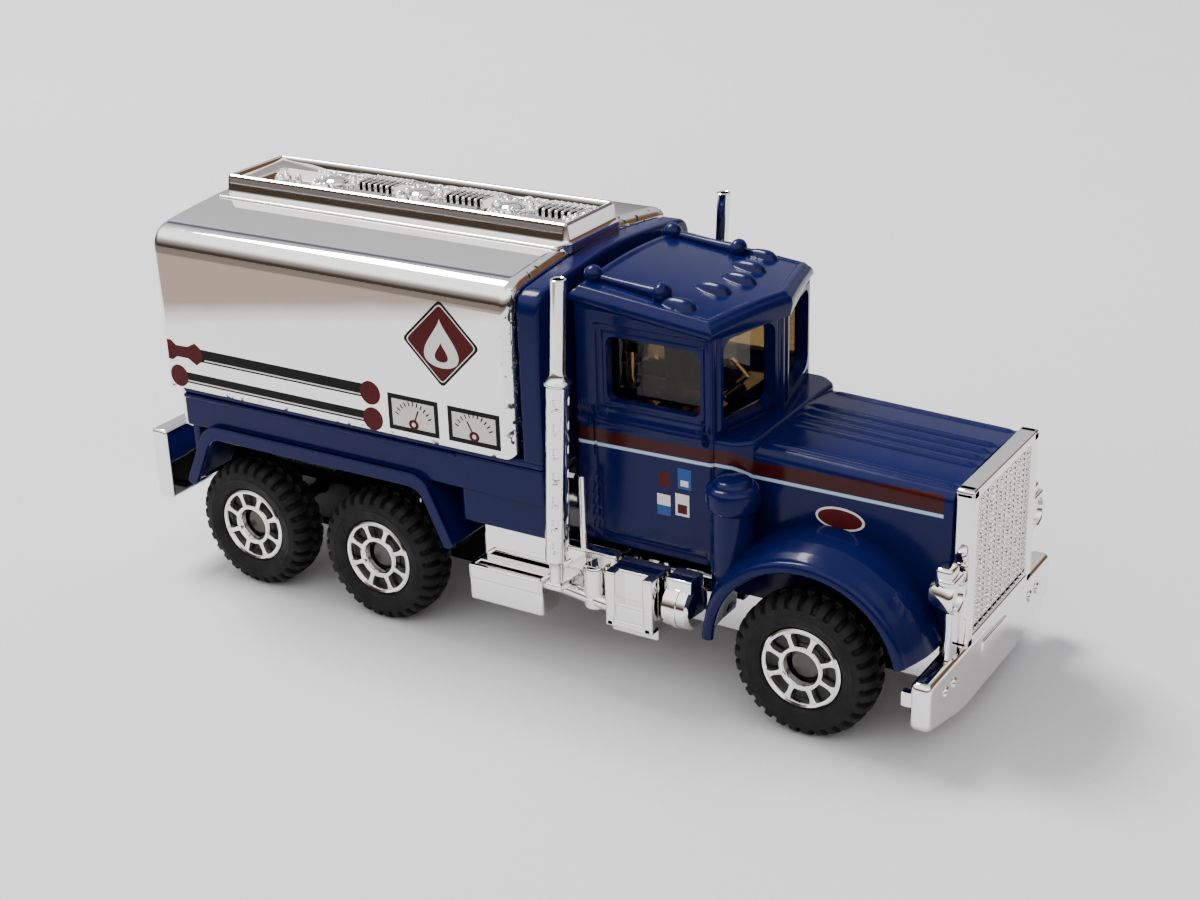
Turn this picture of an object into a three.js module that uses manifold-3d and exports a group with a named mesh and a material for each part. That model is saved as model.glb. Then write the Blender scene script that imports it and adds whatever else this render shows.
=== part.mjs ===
// Toy tanker truck, about three inches long: a die-cast body, a plated tank and trim, and free-rolling wheels.
// Millimetres. +X is the front of the truck, +Y its left side, +Z up; the origin is on the floor at the middle.
// Sizes shared between pieces are named here; the rest are written as ranges along the axes at their use.
import * as THREE from 'three';
import { mergeVertices } from 'three/addons/utils/BufferGeometryUtils.js';
import Module from 'manifold-3d';

const wasm = await Module();
wasm.setup();

// Driving dimensions
const noseX = 38.2;            // front of the grille; the back of the rear bumper is as far behind the origin
const sideY = 12.8;            // half width over the tank, the tyres and the bumpers
const fit = 0.05;              // clearance between neighbouring pieces that are not joined
const wheel = { radius: 5.9, width: 3.9, disc: 3.4, well: 1.5, bore: 0.8, sides: 24, face: 12.45,
  wellDepth: 1.35, pocket: 0.6, pockets: 8 };
const axle = { radius: 0.6, head: 1.15, headDepth: 0.3,
  stations: { front: 27.1, middle: -13.25, rear: -27.35 } };
const cab = { rear: 5.0, corner: 17.5, peak: 19.3, half: 8.5, bottom: 10.6, wall: 1.0, roofRear: 31.8,
  roofFront: 30.5, brow: 0.35, visor: 0.8 };
const windows = { side: { x: [8.0, 16.4], z: [23.0, 28.4] },
  pane: { width: 6.3, height: 6.9, y: 4.25, z: 25.75 } };
const airHorn = { knob: 5.7, throat: 11.2, bell: 12.0, y: 6.3, lift: 0.75 };
const lamps = { places: [[14.4, -6.9], [15.3, -3.0], [16.0, 0], [15.3, 3.0], [14.4, 6.9]],
  size: [1.3, 0.65, 0.65] };
const bonnet = { rear: 17, front: 36.7, half: 7.05, rearTop: 21.0, frontTop: 20.3, bottom: 8.0,
  crown: 0.35, edge: 0.9, ribs: [-2, 0, 2], ribWidth: 0.7, ribLength: 15.5 };
const cowl = { rear: 16.5, side: 19.2, front: 20.6, half: 8.3, low: 16, high: 21.4 };
const cleaner = { x: 19.6, y: 9.1, radius: 1.75, capRadius: 2.15, low: 10.8, cap: 16.4, capTop: 18.4,
  top: 19.0 };
const fender = { inner: 6.5, rearLow: 6.4, frontLow: 8.2, apron: [17.1, 18.6] };
const bed = { rear: -34.2, front: 4.2, top: 18.15, half: 11.6, wall: 1.0, guardTop: 14.9, guardLow: 8.9,
  lip: 0.9, guardRun: 2.85, guardFront: -7.6, panelRear: -4.4, panelLow: 11.2 };
const tank = { rear: -35.5, front: 2.0, bottom: 18.2, shoulder: 30.4, roofEdge: 32.95, roof: 33.8, wall: 1.0,
  reach: 2.3, skirtLow: 13.6 };
const trough = { half: 3.9, top: 35.3, rear: -34.1, floor: 34.2, wall: 0.6,
  lids: [-29, -22.5, -15.5, -8.5, -2.5], lidRadius: 1.3, lidHeight: 0.6 };
const base = { half: 5.9, bottom: 3.9, top: 8.4, floor: 1.2, wall: 0.9, rear: -35.0, front: 35.6 };
const post = { radius: 1.4, head: 2.2, stations: [-20.3, 10] };
const stack = { foot: [5.6, 8.3], tip: [6.97, 34.25], y: 13.1, shieldFrom: 10.4, shieldTo: 26.05,
  shield: 0.93, pipe: 0.62 };
const frontBumper = { rear: 36.1, front: 37.8, low: 1.75, endLow: 3.4, high: 7.35, level: 6.0, chamfer: 0.3 };
const rearBumper = { front: -36.4, low: 6.6, high: 13.4, chamfer: 0.4 };
const arm = [3.5, 5.5];        // how far out the bumpers' arms stand
const headlampY = 8.4;
const grille = { rear: 36.75, half: 6.8, low: 7.6, high: 20.75, frame: 0.8, recess: 0.4, bars: 5, bar: 0.35 };

const paint = new THREE.MeshStandardMaterial({ color: 0x10184a, roughness: 0.25, metalness: 0.2 });
const plate = new THREE.MeshStandardMaterial({ color: 0xd9d9dc, roughness: 0.1, metalness: 1.0 });
const rubber = new THREE.MeshStandardMaterial({ color: 0x151515, roughness: 0.7, metalness: 0.0 });
const glass = new THREE.MeshStandardMaterial({ color: 0x5a4a24, roughness: 0.1, metalness: 0.0 });
const steel = new THREE.MeshStandardMaterial({ color: 0x8c8c90, roughness: 0.35, metalness: 1.0 });

const truck = new THREE.Group();

// A closed geometry as a solid with its faces turned out.
function solid(geometry) {
  const bare = geometry.index ? geometry : geometry.clone();
  bare.deleteAttribute('normal');
  bare.deleteAttribute('uv');
  const merged = mergeVertices(bare, 1e-5);
  const points = merged.attributes.position.array;
  const faces = Uint32Array.from(merged.index.array);
  const corner = (i) => new THREE.Vector3().fromArray(points, 3 * faces[i]);
  let volume = 0;
  for (let i = 0; i < faces.length; i += 3) {
    volume += corner(i).dot(corner(i + 1).cross(corner(i + 2)));
  }
  if (volume < 0) {
    for (let i = 0; i < faces.length; i += 3) {
      [faces[i], faces[i + 1]] = [faces[i + 1], faces[i]];
    }
  }
  const mesh = new wasm.Mesh({ numProp: 3, vertProperties: Float32Array.from(points), triVerts: faces });
  return new wasm.Manifold(mesh);
}

const joined = (...solids) => solids.reduce((sum, next) => sum.add(next));
const less = (first, ...solids) => solids.reduce((rest, next) => rest.subtract(next), first);

// A solid as a named mesh in the truck.
function add(name, made, material) {
  const result = made.getMesh();
  const geometry = new THREE.BufferGeometry();
  geometry.setAttribute('position', new THREE.BufferAttribute(new Float32Array(result.vertProperties), 3));
  geometry.setIndex(new THREE.BufferAttribute(new Uint32Array(result.triVerts), 1));
  const mesh = new THREE.Mesh(geometry, material);
  mesh.name = name;
  truck.add(mesh);
}

// A box between two opposite corners, given as the range along each axis.
function block([x0, x1], [y0, y1], [z0, z1]) {
  const geometry = new THREE.BoxGeometry(Math.abs(x1 - x0), Math.abs(y1 - y0), Math.abs(z1 - z0));
  return solid(geometry.translate((x0 + x1) / 2, (y0 + y1) / 2, (z0 + z1) / 2));
}

function extruded(outline, depth, holes = []) {
  const drawn = outline instanceof THREE.Shape;
  const shape = drawn ? outline : new THREE.Shape(outline.map((p) => new THREE.Vector2(...p)));
  shape.holes.push(...holes);
  return new THREE.ExtrudeGeometry(shape, { depth, bevelEnabled: false, curveSegments: 6 });
}

// Outlines drawn in plan (x, y), from the side (x, z) and from behind (y, z).
const plan = (outline, [z0, z1]) => solid(extruded(outline, z1 - z0).translate(0, 0, z0));
const profile = (outline, [y0, y1]) =>
  solid(extruded(outline, y1 - y0).rotateX(Math.PI / 2).translate(0, y1, 0));
const alongX = new THREE.Matrix4().makeBasis(
  new THREE.Vector3(0, 1, 0), new THREE.Vector3(0, 0, 1), new THREE.Vector3(1, 0, 0));
const section = (outline, [x0, x1]) =>
  solid(extruded(outline, x1 - x0).applyMatrix4(alongX).translate(x0, 0, 0));

// Round stock between two points, tapered if the two radii differ.
function rod(from, to, radius, endRadius = radius) {
  const start = new THREE.Vector3(...from);
  const run = new THREE.Vector3(...to).sub(start);
  const length = run.length();
  const geometry = new THREE.CylinderGeometry(endRadius, radius, length, 12).translate(0, length / 2, 0);
  const turn = new THREE.Quaternion().setFromUnitVectors(new THREE.Vector3(0, 1, 0), run.clone().normalize());
  return solid(geometry.applyQuaternion(turn).translate(start.x, start.y, start.z));
}

// An egg-shaped lump with its half lengths along the three axes.
function lump(centre, [a, b, c]) {
  return solid(new THREE.SphereGeometry(1, 10, 6).rotateX(Math.PI / 2).scale(a, b, c).translate(...centre));
}

// The range between two distances from the middle, on one side of the truck (1 left, -1 right).
const out = (side, near, far) => (side > 0 ? [near, far] : [-far, -near]);
const both = (make) => [make(-1), make(1)];
const sides = { right: -1, left: 1 };

// Outline of the tank from behind, drawn in by inset: upright sides, round shoulders, gently arched roof.
function tankOutline(inset, bottom) {
  const half = sideY - inset;
  const reach = tank.reach - inset;   // how far in from the side the shoulder curve ends
  const shape = new THREE.Shape();
  shape.moveTo(-half, bottom);
  shape.lineTo(half, bottom);
  shape.lineTo(half, tank.shoulder);
  shape.quadraticCurveTo(half, tank.roofEdge - inset - 0.25, half - reach, tank.roofEdge - inset);
  shape.quadraticCurveTo(trough.half, tank.roof - inset, 0, tank.roof - inset);
  shape.quadraticCurveTo(-trough.half, tank.roof - inset, reach - half, tank.roofEdge - inset);
  shape.quadraticCurveTo(-half, tank.roofEdge - inset - 0.25, -half, tank.shoulder);
  shape.closePath();
  return shape;
}

// Cab outline in plan: square at the back, V-shaped at the windscreen.
function cabPlan(inset) {
  const half = cab.half - inset;
  return [[cab.rear + inset, -half], [cab.corner - inset * 0.4, -half + 0.1], [cab.peak - inset, 0],
    [cab.corner - inset * 0.4, half - 0.1], [cab.rear + inset, half]];
}

const roofSlope = (cab.roofRear - cab.roofFront) / (cab.corner - cab.rear);
const roofAt = (x) => cab.roofRear - roofSlope * (x - cab.rear);

function cabShell() {
  const flank = [[cab.rear, cab.bottom], [cab.peak + 1, cab.bottom], [cab.peak + 1, roofAt(cab.peak) - 0.6],
    [cab.rear, cab.roofRear - 0.6]];
  const walls = profile(flank, [-cab.half, cab.half]).intersect(plan(cabPlan(0), [0, 40]));
  const roofHalf = cab.half + cab.brow;
  const roofPlan = [[cab.rear - 0.1, -roofHalf], [cab.corner + 0.1, -cab.half + 0.3],
    [cab.peak + cab.visor, 0], [cab.corner + 0.1, cab.half - 0.3], [cab.rear - 0.1, roofHalf]];
  const arch = new THREE.Shape();
  arch.moveTo(-10, -0.9);
  arch.lineTo(10, -0.9);
  arch.lineTo(10, -0.1);
  arch.quadraticCurveTo(0, 1.5, -10, -0.1);
  const roof = solid(extruded(arch, 20).applyMatrix4(alongX).rotateY(Math.atan(roofSlope))
    .translate(cab.rear - 2, 0, roofAt(cab.rear - 2)));
  return joined(walls, roof.intersect(plan(roofPlan, [25, 40])), ...both(horn), ...roofLamps());
}

// An air horn on the roof: a knob at the back, a flared tube and a round bell.
function horn(side) {
  const at = (x, lift = 0) => [x, side * airHorn.y, roofAt(x) + airHorn.lift + lift];
  const tube = rod(at(airHorn.knob), at(airHorn.throat), 0.3, 0.55);
  const knob = lump(at(airHorn.knob, 0.1), [0.8, 0.75, 0.8]);
  return joined(knob, tube, lump(at(airHorn.bell, 0.1), [0.75, 0.95, 0.9]));
}

// Five teardrop lamps in a shallow V over the windscreen.
function roofLamps() {
  return lamps.places.map(([x, y]) => lump([x, y, roofAt(x) + 0.72 - 0.006 * y * y], lamps.size));
}

function windowOpenings() {
  const lean = Math.atan((cab.peak - cab.corner) / cab.half);
  const { width, height, y, z } = windows.pane;
  const pane = (side) => solid(new THREE.BoxGeometry(4, width, height).rotateZ(side * lean)
    .translate((cab.peak + cab.corner) / 2, side * y, z));
  return [block(windows.side.x, [-10, 10], windows.side.z), ...both(pane)];
}

function bonnetShell() {
  const { half, edge } = bonnet;
  const top = new THREE.Shape();
  top.moveTo(-half, -4);
  top.lineTo(half, -4);
  top.lineTo(half, -edge);
  top.quadraticCurveTo(half, 0, half - edge, 0);
  top.quadraticCurveTo(0, 2 * bonnet.crown, edge - half, 0);
  top.quadraticCurveTo(-half, 0, -half, -edge);
  const length = bonnet.front - bonnet.rear;
  const drop = Math.atan((bonnet.rearTop - bonnet.frontTop) / length);
  const lid = solid(extruded(top, length).applyMatrix4(alongX).rotateY(drop)
    .translate(bonnet.rear, 0, bonnet.rearTop));
  const rib = (y) => solid(new THREE.BoxGeometry(bonnet.ribLength, bonnet.ribWidth, 0.6).rotateY(drop)
    .translate(28.3, y, bonnet.rearTop - 0.23));
  const cowlPlan = [[cowl.rear, -cowl.half], [cowl.side, 0.1 - cowl.half], [cowl.front, -half],
    [cowl.front, half], [cowl.side, cowl.half - 0.1], [cowl.rear, cowl.half]];
  const flanks = block([bonnet.rear, bonnet.front - 0.1], [-half, half], [bonnet.bottom, 18]);
  const fittings = [...bonnet.ribs.map(rib), ...both(airCleaner), ...both(frontFender)];
  return joined(flanks, lid, plan(cowlPlan, [cowl.low, cowl.high]), ...fittings);
}

// An air cleaner canister standing between the door and the front fender.
function airCleaner(side) {
  const at = (z) => [cleaner.x, side * cleaner.y, z];
  const { radius, capRadius, low, cap, capTop, top } = cleaner;
  return joined(rod(at(low), at(cap + 1), radius), rod(at(cap), at(capTop), capRadius),
    rod(at(capTop - 0.1), at(top), capRadius - 0.05, 1.5));
}

// A front fender: a crowned shell turned about the axle line, ended behind and in front of the tyre.
function frontFender(side) {
  const outer = [[9.75, fender.inner], [9.75, 9.0], [9.4, 10.6], [8.75, 11.9], [8.2, 12.5]];
  const inner = [[7.7, 12.5], [7.9, 11.6], [8.5, 10.4], [8.7, 9.0], [8.7, fender.inner]];
  const ring = [...outer, ...inner, outer[0]].map(([r, y]) => new THREE.Vector2(r, side * y));
  const x = axle.stations.front;
  const turned = solid(new THREE.LatheGeometry(ring, 36).translate(x, 0, wheel.radius));
  const { rearLow, frontLow } = fender;
  const keptOutline = [[x - 12, rearLow], [x, rearLow], [x, frontLow], [x + 12, frontLow], [x + 12, 18],
    [x - 12, 18]];
  const kept = profile(keptOutline, out(side, 6, 13));
  const apron = block(fender.apron, out(side, 6.2, cab.half), [rearLow, 12]);
  return turned.intersect(kept).add(apron);
}

// The bed under the tank, with the rear mudguards and the bulkhead in front of the tank.
function bedShell() {
  const deck = block([bed.rear, bed.front], [-bed.half, bed.half], [bed.guardTop - 1, bed.top]);
  const rail = block([bed.rear, bed.front], [-sideY + 0.6, sideY - 0.6], [bed.top - 0.7, bed.top]);
  const deckHollow = block([bed.rear + bed.wall, bed.front - bed.wall],
    [-bed.half + bed.wall, bed.half - bed.wall], [0, bed.top - bed.wall]);
  const run = bed.guardRun;
  const guardRear = bed.rear + 2.6;
  const { guardFront } = bed;
  const guard = (drop) => [[guardRear - run + drop, bed.guardLow],
    [guardRear + drop * 0.6, bed.guardTop - drop], [guardFront - drop * 0.6, bed.guardTop - drop],
    [guardFront + run - drop, bed.guardLow]];
  const guards = both((side) => less(profile(guard(0), out(side, 8.0, sideY - 0.1)),
    profile(guard(bed.lip).map(([x, z]) => [x, z - (z === bed.guardLow ? 1 : 0)]), out(side, 7.0, 14))));
  const panels = both((side) => block([bed.panelRear, bed.front], out(side, bed.half - 2.2, bed.half + 0.2),
    [bed.panelLow, bed.top]));
  const rearWall = block([bed.rear, bed.rear + bed.wall], [-bed.half, bed.half], [bed.guardLow, bed.top]);
  const bulkhead = section(tankOutline(0.7, bed.guardTop), [tank.front + 0.1, bed.front]);
  const posts = post.stations.map((x) =>
    joined(rod([x, 0, base.bottom + 0.1], [x, 0, bed.top - 0.5], post.radius),
      rod([x, 0, base.bottom + 0.05], [x, 0, base.bottom + 0.45], post.head)));
  return { shell: joined(less(deck, deckHollow), rail, ...guards, ...panels, rearWall, bulkhead), posts };
}

function bodyCasting() {
  const { shell, posts } = bedShell();
  const bridge = block([bed.front - 0.5, cab.rear + 0.5], [-7, 7], [12, 17]);   // from the bed to the cab
  const cabRoom = plan(cabPlan(cab.wall), [0, 29.2]);
  const bonnetRoom = block([bonnet.rear, bonnet.front - 1], [-6, 6], [0, 19.3]);
  const cabin = less(joined(cabShell(), bonnetShell()), cabRoom, bonnetRoom, ...windowOpenings());
  const cabPost = block([post.stations[1] - 1.5, post.stations[1] + 1.5], [-8, 8], [12.2, 13.4]);
  const shortPost = posts[1].intersect(block([0, 20], [-5, 5], [0, 13]));
  return joined(cabin, shell, bridge, posts[0], cabPost, shortPost);
}

function tankShell() {
  const skin = section(tankOutline(0, tank.bottom), [tank.rear, tank.front]);
  const inside = section(tankOutline(tank.wall, tank.bottom - 1),
    [tank.rear + tank.wall, tank.front - tank.wall]);
  const kerb = block([trough.rear, tank.front], [-trough.half, trough.half], [tank.roof - 1, trough.top]);
  const tray = block([trough.rear + trough.wall, tank.front - trough.wall],
    [-trough.half + trough.wall, trough.half - trough.wall], [trough.floor, trough.top + 1]);
  const skirt = block([tank.rear + 0.2, bed.rear - fit], [-bed.half + 0.3, bed.half - 0.3],
    [tank.skirtLow, tank.bottom + 1]);
  const lids = trough.lids.map((x) =>
    rod([x, 0, trough.floor - 0.2], [x, 0, trough.floor + trough.lidHeight], trough.lidRadius));
  return joined(less(joined(less(skin, inside), kerb), tray), skirt, ...lids);
}

// Amber glazing behind the side windows and the windscreen, one moulding.
function glazing() {
  const gap = cab.wall + 0.15;
  return plan(cabPlan(gap), [22.2, 28.9]).subtract(plan(cabPlan(gap + 0.7), [20, 30]))
    .subtract(block([0, 7.4], [-9, 9], [20, 30]));
}

// Plated floor, seats, steering wheel and column seen through the glazing.
function cabInterior() {
  const floor = block([6.6, 15.6], [-6.9, 6.9], [14.2, 15.4]);
  const seats = both((side) => joined(block([7.2, 11.8], out(side, 1.4, 6.2), [15.2, 20.6]),
    block([7.2, 9.4], out(side, 1.4, 6.2), [20.4, 26.6])));
  const dash = block([13.9, 15.6], [-6.0, 6.0], [15.2, 22.0]);
  const column = rod([14.6, 3.8, 21.4], [12.7, 3.8, 23.4], 0.35);
  const rim = rod([12.9, 3.8, 23.2], [12.6, 3.8, 23.5], 1.7);
  return joined(floor, ...seats, dash, column, rim);
}

// Plated base: a shallow pan with notches for the axles and a countersunk hole for each post.
function basePan() {
  const pan = less(block([base.rear, base.front], [-base.half, base.half], [base.bottom, base.top]),
    block([base.rear + base.wall, base.front - base.wall], [-base.half + base.wall, base.half - base.wall],
      [base.bottom + base.floor, base.top + 1]));
  const notch = axle.radius + fit;
  const notches = Object.values(axle.stations).map((x) =>
    block([x - notch, x + notch], [-9, 9], [wheel.radius - notch, base.top + 1]));
  const holes = post.stations.map((x) => joined(rod([x, 0, 0], [x, 0, 9], post.radius + 0.3),
    rod([x, 0, base.bottom - 1], [x, 0, base.bottom + 0.75], post.head + 0.3)));
  return less(pan, ...notches, ...holes);
}

function grillePlate() {
  const x0 = noseX - grille.recess;
  const front = block([grille.rear, noseX], [-grille.half, grille.half], [grille.low, grille.high]);
  const recess = block([x0, noseX + 1], [-grille.half + grille.frame, grille.half - grille.frame],
    [grille.low + grille.frame, grille.high - grille.frame]);
  const pitch = 2 * (grille.half - grille.frame) / (grille.bars + 1);
  const bars = Array.from({ length: grille.bars }, (_, i) => {
    const y = grille.frame - grille.half + pitch * (i + 1);
    const across = [y - grille.bar / 2, y + grille.bar / 2];
    return block([x0 - 0.1, noseX - 0.1], across, [grille.low + 0.5, grille.high - 0.5]);
  });
  return joined(less(front, recess), ...bars);
}

// A headlamp pod on its bracket beside the grille.
function headlamp(side) {
  const y = side * headlampY;
  const bracket = block([36.9, 37.5], out(side, grille.half + fit, 8.6), [frontBumper.high + fit, 12.5]);
  const pod = rod([35.9, y, 12.9], [38.0, y, 12.9], 1.05, 1.45);
  return joined(bracket, pod, block([36.3, 37.7], [y - 0.9, y + 0.9], [13, 15.3]));
}

// Front bumper: a flat bar, deeper in the middle than at its ends, with chamfered front edges.
function frontBumperBar() {
  const { rear, front, low, endLow, high, level, chamfer } = frontBumper;
  const edge = front - chamfer;
  const side = profile([[rear, 0], [front, 0], [front, high - chamfer], [edge, high], [rear, high]],
    [-sideY, sideY]);
  const faceOutline = [[-sideY, endLow], [-level, low], [level, low], [sideY, endLow], [sideY, high],
    [-sideY, high]];
  const face = section(faceOutline, [rear, front]);
  const arms = both((hand) => block([base.front + fit, rear + 0.1], out(hand, ...arm), [4.4, 6.8]));
  const tabs = both((hand) => block([rear - 0.7, rear + 0.1], out(hand, 11.9, 12.7), [5.2, 6.4]));
  return joined(side.intersect(face), ...arms, ...tabs);
}

function rearBumperBar() {
  const { front, low, high, chamfer } = rearBumper;
  const bar = profile([[-noseX, low + chamfer], [-noseX + chamfer, low], [front, low], [front, high],
    [-noseX + chamfer, high], [-noseX, high - chamfer]], [-sideY, sideY]);
  const arms = both((hand) => block([front - 0.1, base.rear - fit], out(hand, ...arm), [6.7, 8.2]));
  return joined(bar, ...arms);
}

// An exhaust stack that leans forward a little: plain pipe, collar, heat shield and foot.
function exhaustStack(side) {
  const y = side * stack.y;
  const [x0, z0] = stack.foot;
  const [x1, z1] = stack.tip;
  const at = (z) => [x0 + (x1 - x0) * (z - z0) / (z1 - z0), y, z];
  const foot = block([x0 - 0.8, x0 + 0.8], out(side, 10.4 + fit, stack.y + 0.6), [z0 - 0.4, z0 + 0.2]);
  return joined(rod(at(z0), at(z1), stack.pipe), rod(at(stack.shieldFrom), at(stack.shieldTo), stack.shield),
    rod(at(stack.shieldTo - 0.3), at(stack.shieldTo + 0.3), stack.shield + 0.15), foot);
}

// Step box below the front of the tank, with a backing plate and a channel along its top.
function stepBox(side) {
  const box = block([-3.3, 4.0], out(side, 10.4, 12.9), [4.7, 7.9]);
  const channel = block([-4, 5], out(side, 11.6, 12.4), [7.3, 9]);
  const back = block([-2.9, 4.0], out(side, 10.2, 11.0), [4.7, 11.1]);
  return joined(less(box, channel), back, block([-2.0, 3.0], out(side, base.half + fit, 10.6), [5.0, 7.6]));
}

// Plate, pipe and upright grab bars between the stack and the tool box.
function sideBracket(side) {
  const shelf = block([4.2, 9.6], out(side, 9.0, 10.4), [7.8, 10.4]);
  const pipe = rod([4.5, side * 11.4, 7.2], [9.6, side * 11.4, 6.6], 0.6);
  const drum = rod([8.0, side * 11.0, 6.0], [8.0, side * 11.0, 9.6], 1.0);
  const bar = (x, y, top) => rod([x, side * y, 10], [x, side * y, top], 0.3);
  const bars = joined(bar(4.55, 9.7, 16.4), bar(6.4, 10, 16.6));
  const strut = block([6.9, 9.1], out(side, base.half + fit, 11), [6.2, 8.6]);
  return joined(shelf, pipe, drum, bars, strut);
}

// Stepped tool box under the cab.
function toolBox(side) {
  const outer = block([9.8, 14.2], out(side, 9.2, 12.6), [4.5, 10.2]);
  const recess = block([10.5, 13.5], out(side, 11.6, 13), [7.2, 9.4]);
  const step = block([9.8, 14.2], out(side, 11.9, 13), [4, 5.4]);
  return joined(less(outer, recess, step), block([10.6, 13.4], out(side, base.half + fit, 9.4), [5.0, 8.0]));
}

// Small fuel tank in front of the tool box.
function fuelTank(side) {
  const barrel = rod([14.5, side * 10.2, 7.6], [17.0, side * 10.2, 7.6], 1.9);
  const top = block([14.6, 17.0], out(side, 9.0, 11.2), [9.0, 10.2]);
  return joined(barrel, top, block([15.0, 16.5], out(side, base.half + fit, 9.6), [6.6, 8.2]));
}

// Steel axle with a flattened head inside each wheel.
function axleRod(x) {
  const end = wheel.face - wheel.wellDepth + 2 * fit + axle.headDepth;
  const at = (y) => [x, y, wheel.radius];
  return joined(rod(at(-end), at(end), axle.radius), ...both((side) =>
    rod(at(side * (end - axle.headDepth)), at(side * end), axle.head)));
}

function circle(radius, type = THREE.Path) {
  const turns = Array.from({ length: wheel.sides }, (_, i) => (2 * Math.PI * i) / wheel.sides);
  return new type(turns.map((a) => new THREE.Vector2(radius * Math.cos(a), radius * Math.sin(a))));
}

// Wheel disc: a barrel with a deep centre well and eight pockets in its face.
function wheelDisc(x, side) {
  const pocket = (i) => {
    const turn = (2 * Math.PI * i) / wheel.pockets;
    const spread = 0.29;
    const at = (r, a) => new THREE.Vector2(r * Math.cos(turn + a), r * Math.sin(turn + a));
    return new THREE.Path([at(1.95, -0.2), at(2.8, -spread), at(2.85, 0), at(2.8, spread), at(1.95, 0.2)]);
  };
  const inner = sideY - wheel.width + 0.3;
  const wellFloor = wheel.face - wheel.wellDepth;
  const pocketFloor = wheel.face - wheel.pocket;
  const face = extruded(circle(wheel.disc, THREE.Shape), wheel.pocket,
    [circle(wheel.well), ...Array.from({ length: wheel.pockets }, (_, i) => pocket(i))]);
  const collar = extruded(circle(wheel.disc, THREE.Shape), pocketFloor - wellFloor + fit,
    [circle(wheel.well)]);
  const barrel = extruded(circle(wheel.disc, THREE.Shape), wellFloor - inner, [circle(wheel.bore)]);
  const set = (geometry, y) =>
    solid(geometry.rotateX(-side * Math.PI / 2).translate(x, side * y, wheel.radius));
  return joined(set(barrel, inner), set(collar, wellFloor - fit), set(face, pocketFloor));
}

// Rubber tyre with square shoulders around the disc.
function tyre(x, side) {
  const inner = sideY - wheel.width;
  const bore = wheel.disc + fit;
  const ring = [[bore, inner], [5.2, inner], [5.75, inner + 0.5], [wheel.radius, inner + 1.2],
    [wheel.radius, sideY - 1.1], [5.6, sideY - 0.3], [4.9, sideY], [3.9, sideY - 0.15], [bore, sideY - 0.4],
    [bore, inner]].map(([r, y]) => new THREE.Vector2(r, side * y));
  const turned = new THREE.LatheGeometry(ring, wheel.sides).rotateY(Math.PI / 2);
  return solid(turned.translate(x, 0, wheel.radius));
}

add('body_casting', bodyCasting(), paint);
add('tank_shell', tankShell(), plate);
add('window_glazing', glazing(), glass);
add('cab_interior', cabInterior(), plate);
add('base_pan', basePan(), plate);
add('grille', grillePlate(), plate);
add('front_bumper', frontBumperBar(), plate);
add('rear_bumper', rearBumperBar(), plate);

for (const [hand, side] of Object.entries(sides)) {
  add(`headlamp_${hand}`, headlamp(side), plate);
  add(`exhaust_stack_${hand}`, exhaustStack(side), plate);
  add(`step_box_${hand}`, stepBox(side), plate);
  add(`side_bracket_${hand}`, sideBracket(side), plate);
  add(`tool_box_${hand}`, toolBox(side), plate);
  add(`fuel_tank_${hand}`, fuelTank(side), plate);
}

for (const [station, x] of Object.entries(axle.stations)) {
  add(`axle_${station}`, axleRod(x), steel);
  for (const [hand, side] of Object.entries(sides)) {
    add(`wheel_disc_${station}_${hand}`, wheelDisc(x, side), plate);
    add(`tyre_${station}_${hand}`, tyre(x, side), rubber);
  }
}

export default truck;
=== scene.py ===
# Looks of the toy tanker truck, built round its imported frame.
# Shapes are worked out in millimetres, +X forward, +Y to the truck's left, and turned into metres when a mesh
# is made.
import math

import bmesh
import bpy
import numpy as np
from mathutils import Matrix


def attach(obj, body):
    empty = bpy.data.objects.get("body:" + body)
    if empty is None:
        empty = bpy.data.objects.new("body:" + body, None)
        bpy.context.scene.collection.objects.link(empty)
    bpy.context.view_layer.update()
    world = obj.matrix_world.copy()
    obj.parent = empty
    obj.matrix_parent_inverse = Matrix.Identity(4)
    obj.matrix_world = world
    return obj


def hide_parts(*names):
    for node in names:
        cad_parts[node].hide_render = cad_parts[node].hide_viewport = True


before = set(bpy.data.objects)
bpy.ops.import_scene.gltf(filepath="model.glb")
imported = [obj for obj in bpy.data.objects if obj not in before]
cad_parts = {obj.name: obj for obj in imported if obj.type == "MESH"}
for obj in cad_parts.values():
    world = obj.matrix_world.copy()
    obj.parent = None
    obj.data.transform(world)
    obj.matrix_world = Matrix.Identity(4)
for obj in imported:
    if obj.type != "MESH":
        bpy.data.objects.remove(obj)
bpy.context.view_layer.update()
mm = 0.001
tau = 2 * math.pi


viewpoint = {
    "azimuth": 32.30, "elevation": 23.22, "roll": -1.90,  # degrees
    "distance": 167.3, "target": (1.90, 0.0, 14.29),  # mm
    "lens": 58.62, "sensor": 36.0,
}


def makeCamera():
    az, el, roll = (math.radians(viewpoint[k]) for k in ("azimuth", "elevation", "roll"))
    back = np.array([math.sin(az) * math.cos(el), -math.cos(az) * math.cos(el), math.sin(el)])
    right = np.cross(-back, [0, 0, 1])
    right /= np.linalg.norm(right)
    up = np.cross(right, -back)
    camera = bpy.data.cameras.new("camera")
    camera.lens = viewpoint["lens"]
    camera.sensor_width = viewpoint["sensor"]
    camera.clip_start = 0.005
    holder = bpy.data.objects.new("camera", camera)
    turned = np.eye(4)
    turned[:3, 0] = math.cos(roll) * right + math.sin(roll) * up
    turned[:3, 1] = math.cos(roll) * up - math.sin(roll) * right
    turned[:3, 2] = back
    turned[:3, 3] = (np.array(viewpoint["target"]) + back * viewpoint["distance"]) * mm
    holder.matrix_world = Matrix(turned.tolist())
    bpy.context.scene.collection.objects.link(holder)
    bpy.context.scene.camera = holder


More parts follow.
